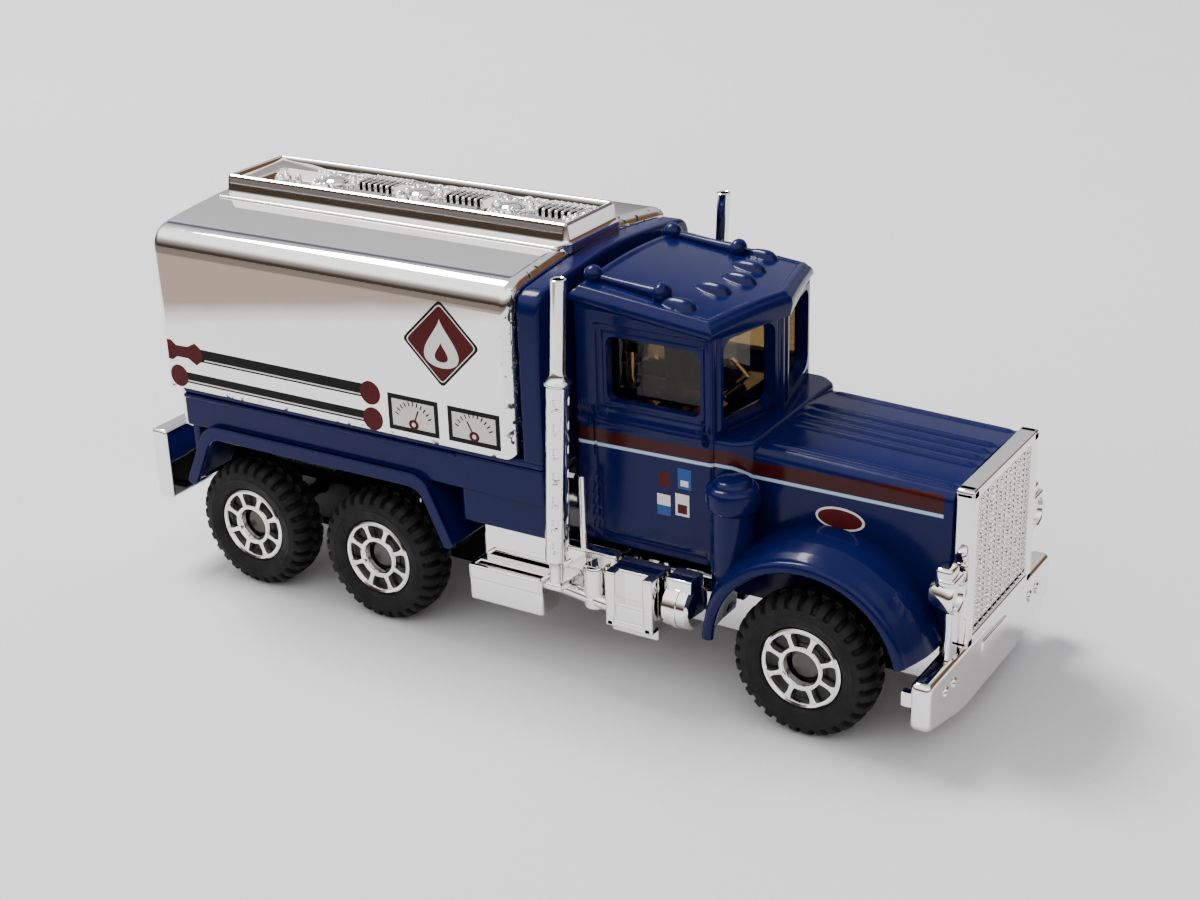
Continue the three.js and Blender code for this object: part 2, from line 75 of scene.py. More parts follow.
studio = {
    "key": {"place": (-0.38, 0.10, 0.64), "size": 0.26, "power": 9.5, "colour": (1.0, 0.985, 0.965)},
    "fill": {"place": (-0.35, -0.75, 0.50), "size": 0.45, "power": 0.8, "colour": (0.97, 0.98, 1.0)},
    # the room by height, 0 straight down and 1 straight up, on the near side and on the far side
    "near": [(0.0, (0.20, 0.14, 0.10)), (0.545, (0.20, 0.14, 0.10)), (0.585, (0.60, 0.48, 0.40)),
             (0.66, (1.4, 1.3, 1.25)), (0.77, (6.0, 6.0, 6.0)), (0.93, (6.0, 6.0, 6.0)), (1.0, (2.4, 2.4, 2.5))],
    "far": [(0.0, (0.20, 0.14, 0.10)), (0.50, (0.50, 0.44, 0.40)), (0.58, (1.5, 1.5, 1.55)),
            (0.765, (2.2, 2.2, 2.32)), (0.783, (0.45, 0.45, 0.62)), (0.810, (0.45, 0.45, 0.62)),
            (0.840, (2.2, 2.2, 2.3)), (1.0, (2.4, 2.4, 2.5))],
    "turn": (-0.12, 0.22),  # where the near side becomes the far side, as a share of the way round
    # warm wood in the room
    "glow": {"toward": (0.62, 0.72, 0.30), "reach": (0.86, 0.97), "colour": (0.52, 0.26, 0.14)},
    "strength": 0.36,
}


def feed(tree, socket, value):
    # an input gets another node's output, a colour or a number
    if isinstance(value, bpy.types.NodeSocket):
        tree.links.new(value, socket)
    else:
        socket.default_value = (*value, 1) if isinstance(value, tuple) else value


def node(tree, kind, inputs=(), **settings):
    # a new node; its inputs are given by name or by number
    made = tree.nodes.new(kind)
    for key, value in settings.items():
        setattr(made, key, value)
    for key, value in dict(inputs).items():
        feed(tree, made.inputs[key], value)
    return made


def noise(tree, scale, detail):
    place = node(tree, "ShaderNodeTexCoord").outputs["Object"]
    return node(tree, "ShaderNodeTexNoise", {"Vector": place, "Scale": scale, "Detail": detail}).outputs[0]


def mapped(tree, value, old, new):
    # the range old stretched or squeezed to the range new, and held at its ends
    inputs = {"Value": value, "From Min": old[0], "From Max": old[1], "To Min": new[0], "To Max": new[1]}
    return node(tree, "ShaderNodeMapRange", inputs).outputs[0]


def blendColours(tree, value, first, second):
    return node(tree, "ShaderNodeMix", {"Factor": value, 6: first, 7: second}, data_type="RGBA").outputs[2]


def arithmetic(tree, kind, *values):
    return node(tree, "ShaderNodeMath", dict(enumerate(values)), operation=kind).outputs[0]


def position(tree, scale):
    # the three coordinates of a spot on a piece, multiplied by scale
    split = node(tree, "ShaderNodeSeparateXYZ", {0: node(tree, "ShaderNodeTexCoord").outputs["Object"]})
    return [arithmetic(tree, "MULTIPLY", along, scale) for along in split.outputs]


def makeRamp(tree, stops, value):
    ramp = node(tree, "ShaderNodeValToRGB", {0: value})
    elements = ramp.color_ramp.elements
    for i, (at, colour) in enumerate(stops):
        stop = elements[i] if i < 2 else elements.new(at)
        stop.position = at
        stop.color = (*colour, 1)
    return ramp.outputs[0]


def makeStudio():
    for name in ("key", "fill"):
        card = studio[name]
        light = bpy.data.lights.new(name, "AREA")
        light.shape = "SQUARE"
        light.size = card["size"]
        light.energy = card["power"]
        light.color = card["colour"]
        holder = bpy.data.objects.new(name, light)
        holder.location = card["place"]
        holder.visible_glossy = name == "key"  # the fill is never seen in the plating
        x, y, z = card["place"]
        z -= 0.01  # aimed at the truck's middle, a little above the floor
        holder.rotation_euler = (math.atan2(math.hypot(x, y), z), 0, math.atan2(y, x) + math.pi / 2)
        bpy.context.scene.collection.objects.link(holder)
    world = bpy.data.worlds.new("room")
    bpy.context.scene.world = world
    world.use_nodes = True
    tree = world.node_tree
    place = node(tree, "ShaderNodeTexCoord").outputs["Generated"]
    split = node(tree, "ShaderNodeSeparateXYZ", {0: place})
    height = mapped(tree, split.outputs["Z"], (-1, 1), (0, 1))
    side = mapped(tree, split.outputs["Y"], studio["turn"], (0, 1))
    near, far = makeRamp(tree, studio["near"], height), makeRamp(tree, studio["far"], height)
    room = blendColours(tree, side, near, far)
    glow = studio["glow"]
    toward = np.array(glow["toward"]) / np.linalg.norm(glow["toward"])
    facing = node(tree, "ShaderNodeVectorMath", {0: place, 1: toward}, operation="DOT_PRODUCT").outputs["Value"]
    reach = {"Value": facing, "From Min": glow["reach"][0], "From Max": glow["reach"][1]}
    patch = node(tree, "ShaderNodeMapRange", reach, interpolation_type="SMOOTHSTEP").outputs[0]
    background = tree.nodes["Background"]
    background.inputs["Strength"].default_value = studio["strength"]
    feed(tree, background.inputs["Color"], blendColours(tree, patch, room, glow["colour"]))


def quadsOf(rows, cols, closeRows=False, closeCols=False):
    # four corners of every cell of a grid of points, row by row
    i = np.arange(rows if closeRows else rows - 1)[:, None]
    j = np.arange(cols if closeCols else cols - 1)[None, :]
    i2, j2 = (i + 1) % rows, (j + 1) % cols
    corners = [i * cols + j, i * cols + j2, i2 * cols + j2, i2 * cols + j]
    return np.stack(np.broadcast_arrays(*corners), -1).reshape(-1, 4)


def rectangle(x0, z0, x1, z1):
    return [(x0, z0), (x1, z0), (x1, z1), (x0, z1)]


def counterClockwise(outline):
    ring = np.asarray(outline, float)
    x, y = ring.T
    area = np.sum(x * np.roll(y, -1) - y * np.roll(x, -1))
    return ring if area > 0 else ring[::-1]


def softCorners(corners, radius, steps=5):
    # each corner becomes the quadratic curve (1-t)^2 a + 2t(1-t) p + t^2 b, where a and b lie radius away
    # along its sides
    p = np.asarray(corners, float)
    before, after = np.roll(p, 1, 0) - p, np.roll(p, -1, 0) - p
    reach = np.broadcast_to(np.asarray(radius, float), len(p))[:, None]
    a = p + before / np.linalg.norm(before, axis=1, keepdims=True) * reach
    b = p + after / np.linalg.norm(after, axis=1, keepdims=True) * reach
    t = np.linspace(0, 1, steps)[None, :, None]
    curve = (1 - t) ** 2 * a[:, None] + 2 * t * (1 - t) * p[:, None] + t ** 2 * b[:, None]
    return curve.reshape(-1, 2)


def inwardOf(ring):
    # mitred direction into a counter-clockwise outline at each of its corners
    step = np.roll(ring, -1, 0) - ring
    step = step / np.maximum(np.linalg.norm(step, axis=1, keepdims=True), 1e-9)
    turned = np.stack([-step[:, 1], step[:, 0]], 1)
    both = turned + np.roll(turned, 1, 0)
    spread = np.maximum(1 + np.sum(turned * np.roll(turned, 1, 0), 1, keepdims=True), 0.4)
    return both / spread


def alongAxis(flat, height, axis):
    # a drawing's points raised to a height: x draws (y, z), y draws (x, z) and z draws (x, y)
    a, b = flat[..., 0], flat[..., 1]
    order = {"x": (height, a, b), "y": (a, height, b), "z": (a, b, height)}[axis]
    return np.stack(np.broadcast_arrays(*order), -1)


def slab(outline, low, high, edge=0.0, axis="z", steps=3):
    # an outline raised from low to high; near each end it is drawn in by edge (1 - sin a) at depth
    # edge (1 - cos a)
    ring = counterClockwise(outline)
    inward = inwardOf(ring)
    a = np.linspace(0, math.pi / 2, steps + 1) if edge > 0 else np.array([math.pi / 2])
    inset = edge * (1 - np.sin(a))
    depth = edge * (1 - np.cos(a)) if edge > 0 else np.zeros(1)
    insets = np.concatenate([inset, inset[::-1]])
    heights = np.concatenate([low + depth, (high - depth)[::-1]])
    flat = ring[None] + inward[None] * insets[:, None, None]
    points = alongAxis(flat, heights[:, None], axis)
    n = len(ring)
    quads = quadsOf(len(heights), n, closeCols=True)
    bottom, top = np.arange(n)[::-1], np.arange(n) + n * (len(heights) - 1)
    faces = quads.tolist() + [bottom.tolist(), top.tolist()]
    if axis == "y":
        faces = [f[::-1] for f in faces]
    return points.reshape(-1, 3), faces


def brick(x, y, z, edge=0.15, axis="z"):
    # a box between ranges along the three axes, its corners softened in the drawing plane
    spans = {"x": (y, z, x), "y": (x, z, y), "z": (x, y, z)}[axis]
    (a0, a1), (b0, b1), (low, high) = [sorted(s) for s in spans]
    corner = min(1.7 * edge, 0.45 * min(a1 - a0, b1 - b0))
    outline = softCorners(rectangle(a0, b0, a1, b1), corner)
    return slab(outline, low, high, min(edge, corner / 1.6), axis)  # an end face never folds over itself


def turnedOn(profile, centre, axis="y", count=48):
    # a closed profile of (radius, distance along the axis), turned once round the axis through centre
    r, h = np.asarray(profile, float).T
    t = np.arange(count) / count * tau
    flat = np.stack([r[:, None] * np.cos(t), r[:, None] * np.sin(t)], -1)
    points = alongAxis(flat, np.broadcast_to(h[:, None], flat.shape[:2]), axis) + np.asarray(centre, float)
    faces = quadsOf(len(r), count, closeRows=True, closeCols=True)
    x, y = np.asarray(profile, float).T
    inside = np.sum(x * np.roll(y, -1) - y * np.roll(x, -1)) > 0
    if inside == (axis != "y"):
        faces = faces[:, ::-1]
    return points.reshape(-1, 3), faces.tolist()


def tubeAlong(path, radius, count=16, ends=0.6):
    # a round section carried along a path; each end closes over a low dome
    p = np.asarray(path, float)
    r = np.broadcast_to(np.asarray(radius, float), len(p)).copy()
    run = np.gradient(p, axis=0)
    run /= np.linalg.norm(run, axis=1, keepdims=True)
    a = np.linspace(0, math.pi / 2, 4)[:-1]  # three rings to each dome
    first = p[0] - run[0] * (r[0] * ends * np.cos(a))[:, None]
    last = p[-1] + run[-1] * (r[-1] * ends * np.cos(a))[::-1, None]
    p = np.concatenate([first, p, last])
    run = np.concatenate([np.repeat(run[:1], 3, 0), run, np.repeat(run[-1:], 3, 0)])
    r = np.concatenate([r[0] * np.sin(a), r, (r[-1] * np.sin(a))[::-1]])
    side = np.cross(run, [0.31, 0.17, 0.93])
    side /= np.linalg.norm(side, axis=1, keepdims=True)
    other = np.cross(run, side)
    t = np.arange(count) / count * tau
    around = side[:, None] * np.cos(t)[:, None] + other[:, None] * np.sin(t)[:, None]
    points = p[:, None] + r[:, None, None] * around
    faces = quadsOf(len(p), count, closeCols=True)[:, ::-1]
    return points.reshape(-1, 3), faces.tolist()


def ball(centre, sizes, count=20):
    # a ball stretched along the three axes, by latitude and longitude
    lat = np.linspace(0, math.pi, count // 2 + 1)[:, None]
    lon = np.arange(count)[None] / count * tau
    across, along = np.sin(lat) * np.cos(lon), np.sin(lat) * np.sin(lon)
    unit = np.stack(np.broadcast_arrays(across, along, np.cos(lat)), -1)
    points = np.asarray(centre, float) + unit * np.asarray(sizes, float)
    return points.reshape(-1, 3), quadsOf(*unit.shape[:2], closeCols=True)[:, ::-1].tolist()


def blanket(top, floor):
    # a grid of points as the top of a closed lump whose sides drop straight to the height floor
    rows, cols = top.shape[:2]
    index = np.arange(rows * cols).reshape(rows, cols)
    rim = np.concatenate([index[0], index[1:, -1], index[-1, -2::-1], index[-2:0:-1, 0]])
    points = top.reshape(-1, 3)
    dropped = points[rim].copy()
    dropped[:, 2] = floor
    n = len(points)
    lower = n + np.arange(len(rim))
    sides = np.stack([rim, lower, np.roll(lower, -1), np.roll(rim, -1)], 1)
    faces = quadsOf(rows, cols).tolist() + sides.tolist() + [lower[::-1].tolist()]
    return np.concatenate([points, dropped]), faces


def mirrored(part):
    # the same part on the truck's other side
    points, faces = part
    return points * [1, -1, 1], [f[::-1] for f in faces]


def bothSides(parts):
    return parts + [mirrored(part) for part in parts]


hands = {"right": lambda parts: parts, "left": lambda parts: [mirrored(part) for part in parts]}


def turnedOut(part):
    # the part with its faces outward, judged by the sign of its volume
    points, faces = part
    fans = np.array([(f[0], f[k], f[k + 1]) for f in faces for k in range(1, len(f) - 1)])
    a, b, c = points[fans[:, 0]], points[fans[:, 1]], points[fans[:, 2]]
    return (points, faces) if np.sum(a * np.cross(b, c)) > 0 else (points, [f[::-1] for f in faces])


slotOf = {"striped_enamel": "blue_enamel", "chipped_plating": "plated_trim", "black_plastic": "plated_trim"}


def makePiece(name, parts, finish, replaces=(), body="truck", slot=None, sharp=38):
    # one mesh of several closed parts, its poles and seams merged
    slot = slot or slotOf.get(finish, finish)
    points, faces, start = [], [], 0
    for part in parts:
        partPoints, partFaces = turnedOut(part)
        points.append(partPoints)
        faces += [[start + k for k in f] for f in partFaces]
        start += len(partPoints)
    mesh = bpy.data.meshes.new(name)
    mesh.from_pydata((np.concatenate(points) * mm).tolist(), [], faces)
    work = bmesh.new()
    work.from_mesh(mesh)
    bmesh.ops.remove_doubles(work, verts=work.verts, dist=2e-7)
    bmesh.ops.dissolve_degenerate(work, edges=work.edges, dist=1e-7)
    work.to_mesh(mesh)
    work.free()
    mesh.shade_smooth()
    mesh.set_sharp_from_angle(angle=math.radians(sharp))
    piece = bpy.data.objects.new(name, mesh)
    bpy.context.scene.collection.objects.link(piece)
    mesh.materials.append(look[finish])
    # broad faces stay flat up to their round edges
    flats = piece.modifiers.new("flat faces", "WEIGHTED_NORMAL")
    flats.weight = 100
    flats.keep_sharp = True
    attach(piece, body)
    if replaces:
        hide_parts(*replaces)
    return piece


def easeStep(x, at, width):
    # 0 below at, 1 above it, with a smooth change over width
    t = np.clip((x - at) / width + 0.5, 0, 1)
    return t * t * (3 - 2 * t)


def band(x, low, high, width):
    # 1 between low and high, 0 outside
    return easeStep(x, low, width) - easeStep(x, high, width)


def makeFinish(name, colours, grain, rough, fine=None, bump=None, inputs=(), change=None):
    # two colours blended by noise of (scale, detail), a range of roughness by finer noise, a bump given as
    # (scale, detail, height, strength) and other inputs by name; change works on the tone and the roughness
    material = bpy.data.materials.new(name)
    material.use_nodes = True
    tree = material.node_tree
    shader = tree.nodes["Principled BSDF"]
    for key, value in dict(inputs).items():
        shader.inputs[key].default_value = value
    tone = blendColours(tree, noise(tree, *grain), *colours)
    roughness = mapped(tree, noise(tree, *fine), (0.3, 0.7), rough) if fine else rough
    if change:
        tone, roughness = change(tree, shader, tone, roughness)
    feed(tree, shader.inputs["Base Color"], tone)
    feed(tree, shader.inputs["Roughness"], roughness)
    if bump:
        scale, detail, height, strength = bump
        grit = {"Height": noise(tree, scale, detail), "Distance": height, "Strength": strength}
        feed(tree, shader.inputs["Normal"], node(tree, "ShaderNodeBump", grit).outputs[0])
    return material


stripe = {
    "maroon": (0.034, 0.0028, 0.0026), "pale": (0.36, 0.44, 0.55),
    # mm: the pale line's height on cab and bonnet, its lean, and where the cowl turns in
    "cab": 19.10, "slope": 0.017, "bonnet": 18.42, "turn": (8.15, 7.10), "cabRear": 6.0, "cabFront": 17.5,
    "half": 0.14, "gap": 0.24, "top": (1.26, 1.70), "widens": 20.0, "out": 6.86, "ends": (5.15, 36.0),
}


def paintStripes(tree, shader, tone, roughness):
    # a maroon band with a fine pale line under it, along both sides of the cab and the bonnet
    s = stripe
    x, y, z = position(tree, 1 / mm)
    aside = arithmetic(tree, "ABSOLUTE", y)

    def ramp(value, start, width, rising=True):
        return mapped(tree, value, (start, start + width), (0, 1) if rising else (1, 0))

    # the line leans up along the cab and steps down as the cowl turns in toward the bonnet
    drop = s["cab"] + s["slope"] * (s["cabFront"] - s["cabRear"]) - s["bonnet"]
    along = arithmetic(tree, "MINIMUM", x, s["cabFront"])
    level = arithmetic(tree, "MULTIPLY_ADD", along, s["slope"], s["cab"] - s["cabRear"] * s["slope"])
    over = arithmetic(tree, "SUBTRACT", z, level)
    over = arithmetic(tree, "ADD", over, mapped(tree, aside, s["turn"], (0.0, drop)))
    ends = arithmetic(tree, "MULTIPLY", ramp(x, s["ends"][0], 0.05), ramp(x, s["ends"][1] - 0.05, 0.05, False))
    where = arithmetic(tree, "MULTIPLY", ramp(aside, s["out"] - 0.02, 0.04), ends)
    line = ramp(arithmetic(tree, "ABSOLUTE", over), s["half"] - 0.03, 0.06, False)
    top = mapped(tree, x, (s["widens"], s["ends"][1]), s["top"])
    upper = ramp(arithmetic(tree, "SUBTRACT", over, top), -0.04, 0.08, False)
    band = arithmetic(tree, "MULTIPLY", upper, ramp(over, s["gap"] - 0.04, 0.08))
    tone = blendColours(tree, arithmetic(tree, "MULTIPLY", band, where), tone, s["maroon"])
    return blendColours(tree, arithmetic(tree, "MULTIPLY", line, where), tone, s["pale"]), roughness


chips = {
    "bare": (0.012, 0.012, 0.014), "rougher": 0.4, "size": (1300, 5), "share": (0.595, 0.62),
    "rim": (1.0, 1.6), "foot": (18.25, 18.55),  # mm, along x and in height
}


def chipPlating(tree, shader, tone, roughness):
    # flecks where the black moulding shows, along the tank's front rim and bottom edge
    x, _, z = position(tree, 1 / mm)
    rim, foot = mapped(tree, x, chips["rim"], (0, 1)), mapped(tree, z, chips["foot"], (1, 0))
    edges = arithmetic(tree, "MAXIMUM", rim, foot)
    fleck = mapped(tree, noise(tree, *chips["size"]), chips["share"], (0, 1))
    worn = arithmetic(tree, "MULTIPLY", edges, fleck)
    feed(tree, shader.inputs["Metallic"], arithmetic(tree, "SUBTRACT", 1.0, worn))
    return (blendColours(tree, worn, tone, chips["bare"]),
            arithmetic(tree, "MULTIPLY_ADD", worn, chips["rougher"], roughness))


# deep blue with a soft orange peel; vacuum plating, nearly a mirror and very slightly wavy
enamel = {
    "colours": [(0.0013, 0.0042, 0.056), (0.0009, 0.0029, 0.039)], "grain": (60, 4), "rough": (0.17, 0.25),
    "fine": (900, 4), "bump": (420, 2, 0.000008, 0.5),
    "inputs": {"Specular IOR Level": 0.13, "Coat Weight": 0.08, "Coat Roughness": 0.06},
}
plating = {
    "colours": [(0.90, 0.89, 0.87), (0.84, 0.83, 0.81)], "grain": (150, 3), "rough": (0.015, 0.06),
    "fine": (500, 5), "bump": (90, 2, 0.00004, 0.35), "inputs": {"Metallic": 1.0},
}
finishes = {
    "blue_enamel": enamel,
    "striped_enamel": {**enamel, "change": paintStripes},
    "plated_trim": plating,
    "chipped_plating": {**plating, "change": chipPlating},
    "tyre_rubber": {"colours": [(0.0025, 0.0025, 0.0025), (0.007, 0.007, 0.007)], "grain": (260, 6),
                    "rough": (0.55, 0.8), "fine": (900, 4), "bump": (1500, 4, 0.00002, 0.7),
                    "inputs": {"Specular IOR Level": 0.25}},
    "black_plastic": {"colours": [(0.004, 0.004, 0.004), (0.008, 0.008, 0.008)], "grain": (300, 3),
                      "rough": (0.35, 0.5), "fine": (700, 3)},
    "amber_glazing": {"colours": [(0.36, 0.29, 0.17), (0.44, 0.36, 0.23)], "grain": (80, 2),
                      "rough": (0.0, 0.012), "fine": (300, 2),
                      "inputs": {"Transmission Weight": 1.0, "IOR": 1.30}},
    "axle_steel": {"colours": [(0.12, 0.11, 0.10), (0.07, 0.065, 0.06)], "grain": (300, 4),
                   "rough": (0.25, 0.45), "fine": (800, 3), "inputs": {"Metallic": 1.0}},
}
ground = {
    "side": 1.6,  # m from the middle to each edge of the floor
    "paper": {"colours": [(0.57, 0.56, 0.58), (0.62, 0.61, 0.625)], "grain": (14, 5), "rough": 0.75,
              "bump": (350, 5, 0.00008, 0.5)},
    "toward": (-0.474, -0.880), "edge": (0.094, 0.103), "darker": (0.125, 0.150),  # m out from the truck
    "lift": 0.0003, "tan": (0.19, 0.14, 0.11), "brown": (0.065, 0.045, 0.032),
}


def tintTable(tree, shader, tone, roughness):
    # paper turns to a tan table that darkens farther out
    x, y, _ = position(tree, 1.0)
    out = arithmetic(tree, "ADD", arithmetic(tree, "MULTIPLY", x, ground["toward"][0]),
                     arithmetic(tree, "MULTIPLY", y, ground["toward"][1]))
    table = blendColours(tree, mapped(tree, out, ground["darker"], (0, 1)), ground["tan"], ground["brown"])
    return blendColours(tree, mapped(tree, out, ground["edge"], (0, 1)), tone, table), roughness


def flatSheet(name, corners, height, material):
    mesh = bpy.data.meshes.new(name)
    mesh.from_pydata([(x, y, height) for x, y in corners], [], [(0, 1, 2, 3)])
    sheet = bpy.data.objects.new(name, mesh)
    bpy.context.scene.collection.objects.link(sheet)
    mesh.materials.append(material)
    return sheet


def makeFloor():
    # a plain floor, and a tan card on it that only the polished surfaces see, for the warm bands in the plating
    side = ground["side"]
    flatSheet("floor", rectangle(-side, -side, side, side), 0, makeFinish("paper", **ground["paper"]))
    out = np.array(ground["toward"])
    along = np.array([-out[1], out[0]])
    near, far = out * (ground["edge"][0] - 0.004), out * side
    corners = [near + along * side, near - along * side, far - along * side, far + along * side]
    tan = makeFinish("tan_table", **ground["paper"], change=tintTable)
    card = flatSheet("tan_card", corners, ground["lift"], tan)
    card.visible_camera = card.visible_diffuse = card.visible_shadow = card.visible_transmission = False


makeCamera()
makeStudio()
makeFloor()
look = {name: makeFinish(name, **settings) for name, settings in finishes.items()}
print("camera, light, floor and finishes made")


def fourSided(x0, x1, z0, z1, radius, count=40, bends=8):
    # a rectangle with round corners as one ring: every corner has bends points, every side count points between
    ring = []
    x0, x1, z0, z1 = x0 + radius, x1 - radius, z0 + radius, z1 - radius
    arcs, centres = [], [(x1, z0), (x1, z1), (x0, z1), (x0, z0)]
    for k, centre in enumerate(centres):
        a = np.linspace(0, math.pi / 2, bends) + (k - 1) * math.pi / 2
        arcs.append(np.array(centre) + radius * np.stack([np.cos(a), np.sin(a)], 1))
    t = np.linspace(0, 1, count + 2)[1:-1, None]
    for k, arc in enumerate(arcs):
        ring += [arc, arc[-1] * (1 - t) + arcs[(k + 1) % 4][0] * t]
    return np.concatenate(ring)


def framedWall(hole, border, thickness, relief, place, rows=70):
    # a wall between the ring of an opening and the ring of its border: row v is (1 - v) hole + v border, raised
    # by the relief at that spot, and a flat back; place turns (across, up, out) into the truck's own axes
    v = np.concatenate([np.linspace(0, 1, rows), [1.0, 0.0]])[:, None, None]
    flat = hole[None] * (1 - v) + border[None] * v
    out = relief(flat[..., 0], flat[..., 1])
    out[-2:] = -thickness
    points = np.stack(place(flat[..., 0], flat[..., 1], out), -1)
    return points.reshape(-1, 3), quadsOf(*flat.shape[:2], closeRows=True, closeCols=True).tolist()


def moulding(corners, radius, profile, axis="z"):
    # a closed profile of (inset, height) carried round a polygon whose corners tighten as the inset grows
    ring = counterClockwise(corners)
    inset, height = np.asarray(profile, float).T
    inward = inwardOf(ring)
    flat = np.stack([softCorners(ring + inward * k, max(radius - k, 0.05), 6) for k in inset])
    points = alongAxis(flat, height[:, None], axis)
    return points.reshape(-1, 3), quadsOf(*flat.shape[:2], closeRows=True, closeCols=True).tolist()


def swept(sections):
    # closed sections joined one after another, with a flat face at each end
    rows, n = sections.shape[:2]
    faces = quadsOf(rows, n, closeCols=True).tolist()
    faces += [np.arange(n)[::-1].tolist(), (np.arange(n) + n * (rows - 1)).tolist()]
    return sections.reshape(-1, 3), faces


def filleted(a, b, size):
    # the higher of two heights with a hollow fillet where they meet
    return 0.5 * (a + b + np.sqrt((a - b) ** 2 + size ** 2))


def roundRim(distance, radius):
    # how far a surface falls near its edge, as a quarter circle
    near = np.clip(radius - distance, 0, radius)
    return radius - np.sqrt(radius ** 2 - near ** 2)


def oval(centre, sizes, count=48):
    t = np.arange(count) / count * tau
    return np.array(centre) + np.stack([sizes[0] * np.cos(t), sizes[1] * np.sin(t)], 1)


# cab: side walls, V-shaped front, back and roof
cab = {
    "rear": 5.0, "corner": 17.5, "peak": 19.3, "half": 8.5, "bottom": 10.6, "wall": 1.0,
    "roofRear": 31.8, "roofSlope": 0.104, "crown": 0.7, "brow": 0.35, "visor": 0.8, "roofEdge": 0.75,
    "window": (8.0, 16.4, 23.0, 28.4), "windowFrame": (7.1, 17.1, 22.05, 29.35), "windowRadius": 0.7,
    "pane": (1.1, 7.4, 22.3, 29.2), "paneRadius": 1.1, "sill": (21.0, 21.55), "seams": (6.85, 17.3),
    "horn": {"knob": 5.8, "bell": 12.0, "out": 6.3, "lift": 0.62},
    "lamps": [(14.4, 6.9), (14.4, -6.9), (15.3, 3.0), (15.3, -3.0), (16.0, 0.0)],
    "lampSize": (0.95, 2.3, 0.84, 0.72),  # reach forward and back, half width, height
}


def roofAt(x):
    return cab["roofRear"] - cab["roofSlope"] * (x - cab["rear"])


def boxDistance(x, z, box):
    # how deep a spot lies inside a box, negative outside
    x0, x1, z0, z1 = box
    return np.minimum(np.minimum(x - x0, x1 - x), np.minimum(z - z0, z1 - z))


def cabSideRelief(x, z):
    frameDepth = boxDistance(x, z, cab["windowFrame"])
    holeDepth = -boxDistance(x, z, cab["window"])
    out = -0.30 * easeStep(frameDepth, 0, 0.22) + 0.16 * band(holeDepth, -0.4, 0.34, 0.14)
    out += 0.20 * band(z, *cab["sill"], 0.2)
    out += 0.14 * band(z, 22.0, 22.25, 0.15) * (frameDepth < 0.3)
    for seam in cab["seams"]:
        out -= 0.16 * band(x, seam - 0.11, seam + 0.11, 0.1) * easeStep(-z, -21.9, 0.2)
    out -= 0.14 * band(z, 11.3, 11.5, 0.1)
    out += 0.18 * easeStep(z, 30.0, 0.25)
    return out - roundRim(x - cab["rear"], 0.55)


def paneRelief(a, z):
    holeDepth = -boxDistance(a, z, cab["pane"])
    return 0.16 * band(holeDepth, -0.4, 0.36, 0.16) - 0.10 * band(holeDepth, 0.45, 0.6, 0.12)


def cabWalls():
    hole = fourSided(*cab["window"], cab["windowRadius"])
    border = fourSided(cab["rear"], cab["corner"] - 0.15, cab["bottom"], 30.2, 0.02)

    def side(x, z, out):
        lift = (roofAt(x) - 30.75) * np.clip((z - 29.5) / 0.7, 0, 1)
        return x, -cab["half"] - out, z + lift

    near = framedWall(hole, border, cab["wall"], cabSideRelief, side)
    run = np.array([cab["peak"] - cab["corner"], cab["half"] - 0.1])
    length = np.linalg.norm(run)
    ahead = run / length

    def front(a, z, out):
        x = cab["corner"] + a * ahead[0] + out * ahead[1]
        return x, -cab["half"] + 0.1 + a * ahead[1] - out * ahead[0], z

    pane = fourSided(*cab["pane"], cab["paneRadius"])
    paneBorder = fourSided(0, length, cab["bottom"], roofAt(cab["peak"]) - 0.4, 0.02)
    half = framedWall(pane, paneBorder, cab["wall"], paneRelief, front, rows=44)
    corner = tubeAlong([(17.12, -8.02, z) for z in np.linspace(cab["bottom"] + 0.1, 30.0, 12)], 0.5, 20)
    middle = tubeAlong([(18.86, 0, z) for z in np.linspace(20.5, 29.9, 8)], 0.5, 20)
    back = brick((cab["rear"] + 0.1, cab["rear"] + cab["wall"]), (-8.2, 8.2), (cab["bottom"], 31.2), 0.3, "x")
    return bothSides([near]) + bothSides([half]) + bothSides([corner]) + [middle, back]


def cabRoof():
    # a crowned sheet whose front edge runs to a point over the windscreen, with marker lamps standing on it
    u = np.linspace(0, 1, 170)[:, None]
    y = np.linspace(-1, 1, 190)[None] * (cab["half"] + cab["brow"])
    reach = np.abs(y) / (cab["half"] + cab["brow"])
    rear = cab["rear"] - 0.1
    front = cab["peak"] + cab["visor"] - (cab["peak"] + cab["visor"] - cab["corner"] - 0.15) * reach
    x = rear + u * (front - rear)
    y = np.broadcast_to(y, x.shape)
    edge = np.minimum(np.minimum(x - rear, (front - x) * 0.97), cab["half"] + cab["brow"] - np.abs(y))
    z = roofAt(x) + cab["crown"] * (1 - reach ** 2) - roundRim(edge, cab["roofEdge"]) + 0.05
    z = z + 0.16 * band(edge, 0.55, 1.1, 0.3)  # a low bead inside the edge
    for cx, cy in cab["lamps"]:
        ahead, behind, wide, high = cab["lampSize"]
        dx = x - cx
        wide = wide * (1 - 0.2 * np.clip(-dx, 0, 2) / 2)  # narrower toward its tail
        flat = (dx / np.where(dx > 0, ahead, behind)) ** 2 + ((y - cy) / wide) ** 2
        z = filleted(z, z - 0.3 + (high + 0.3) * np.sqrt(np.clip(1 - flat, 0, 1)), 0.10)
    top = np.stack([x, y, z], -1)
    points, faces = blanket(top, 0)
    n = x.size  # from here on, the points of the lower rim
    points[n:, 2] = roofAt(points[n:, 0]) - 0.95
    points[n:, :2] = points[n:, :2] * [1, 0.972] - [0.22, 0] * (points[n:, :1] > 10)
    return [(points, faces)]


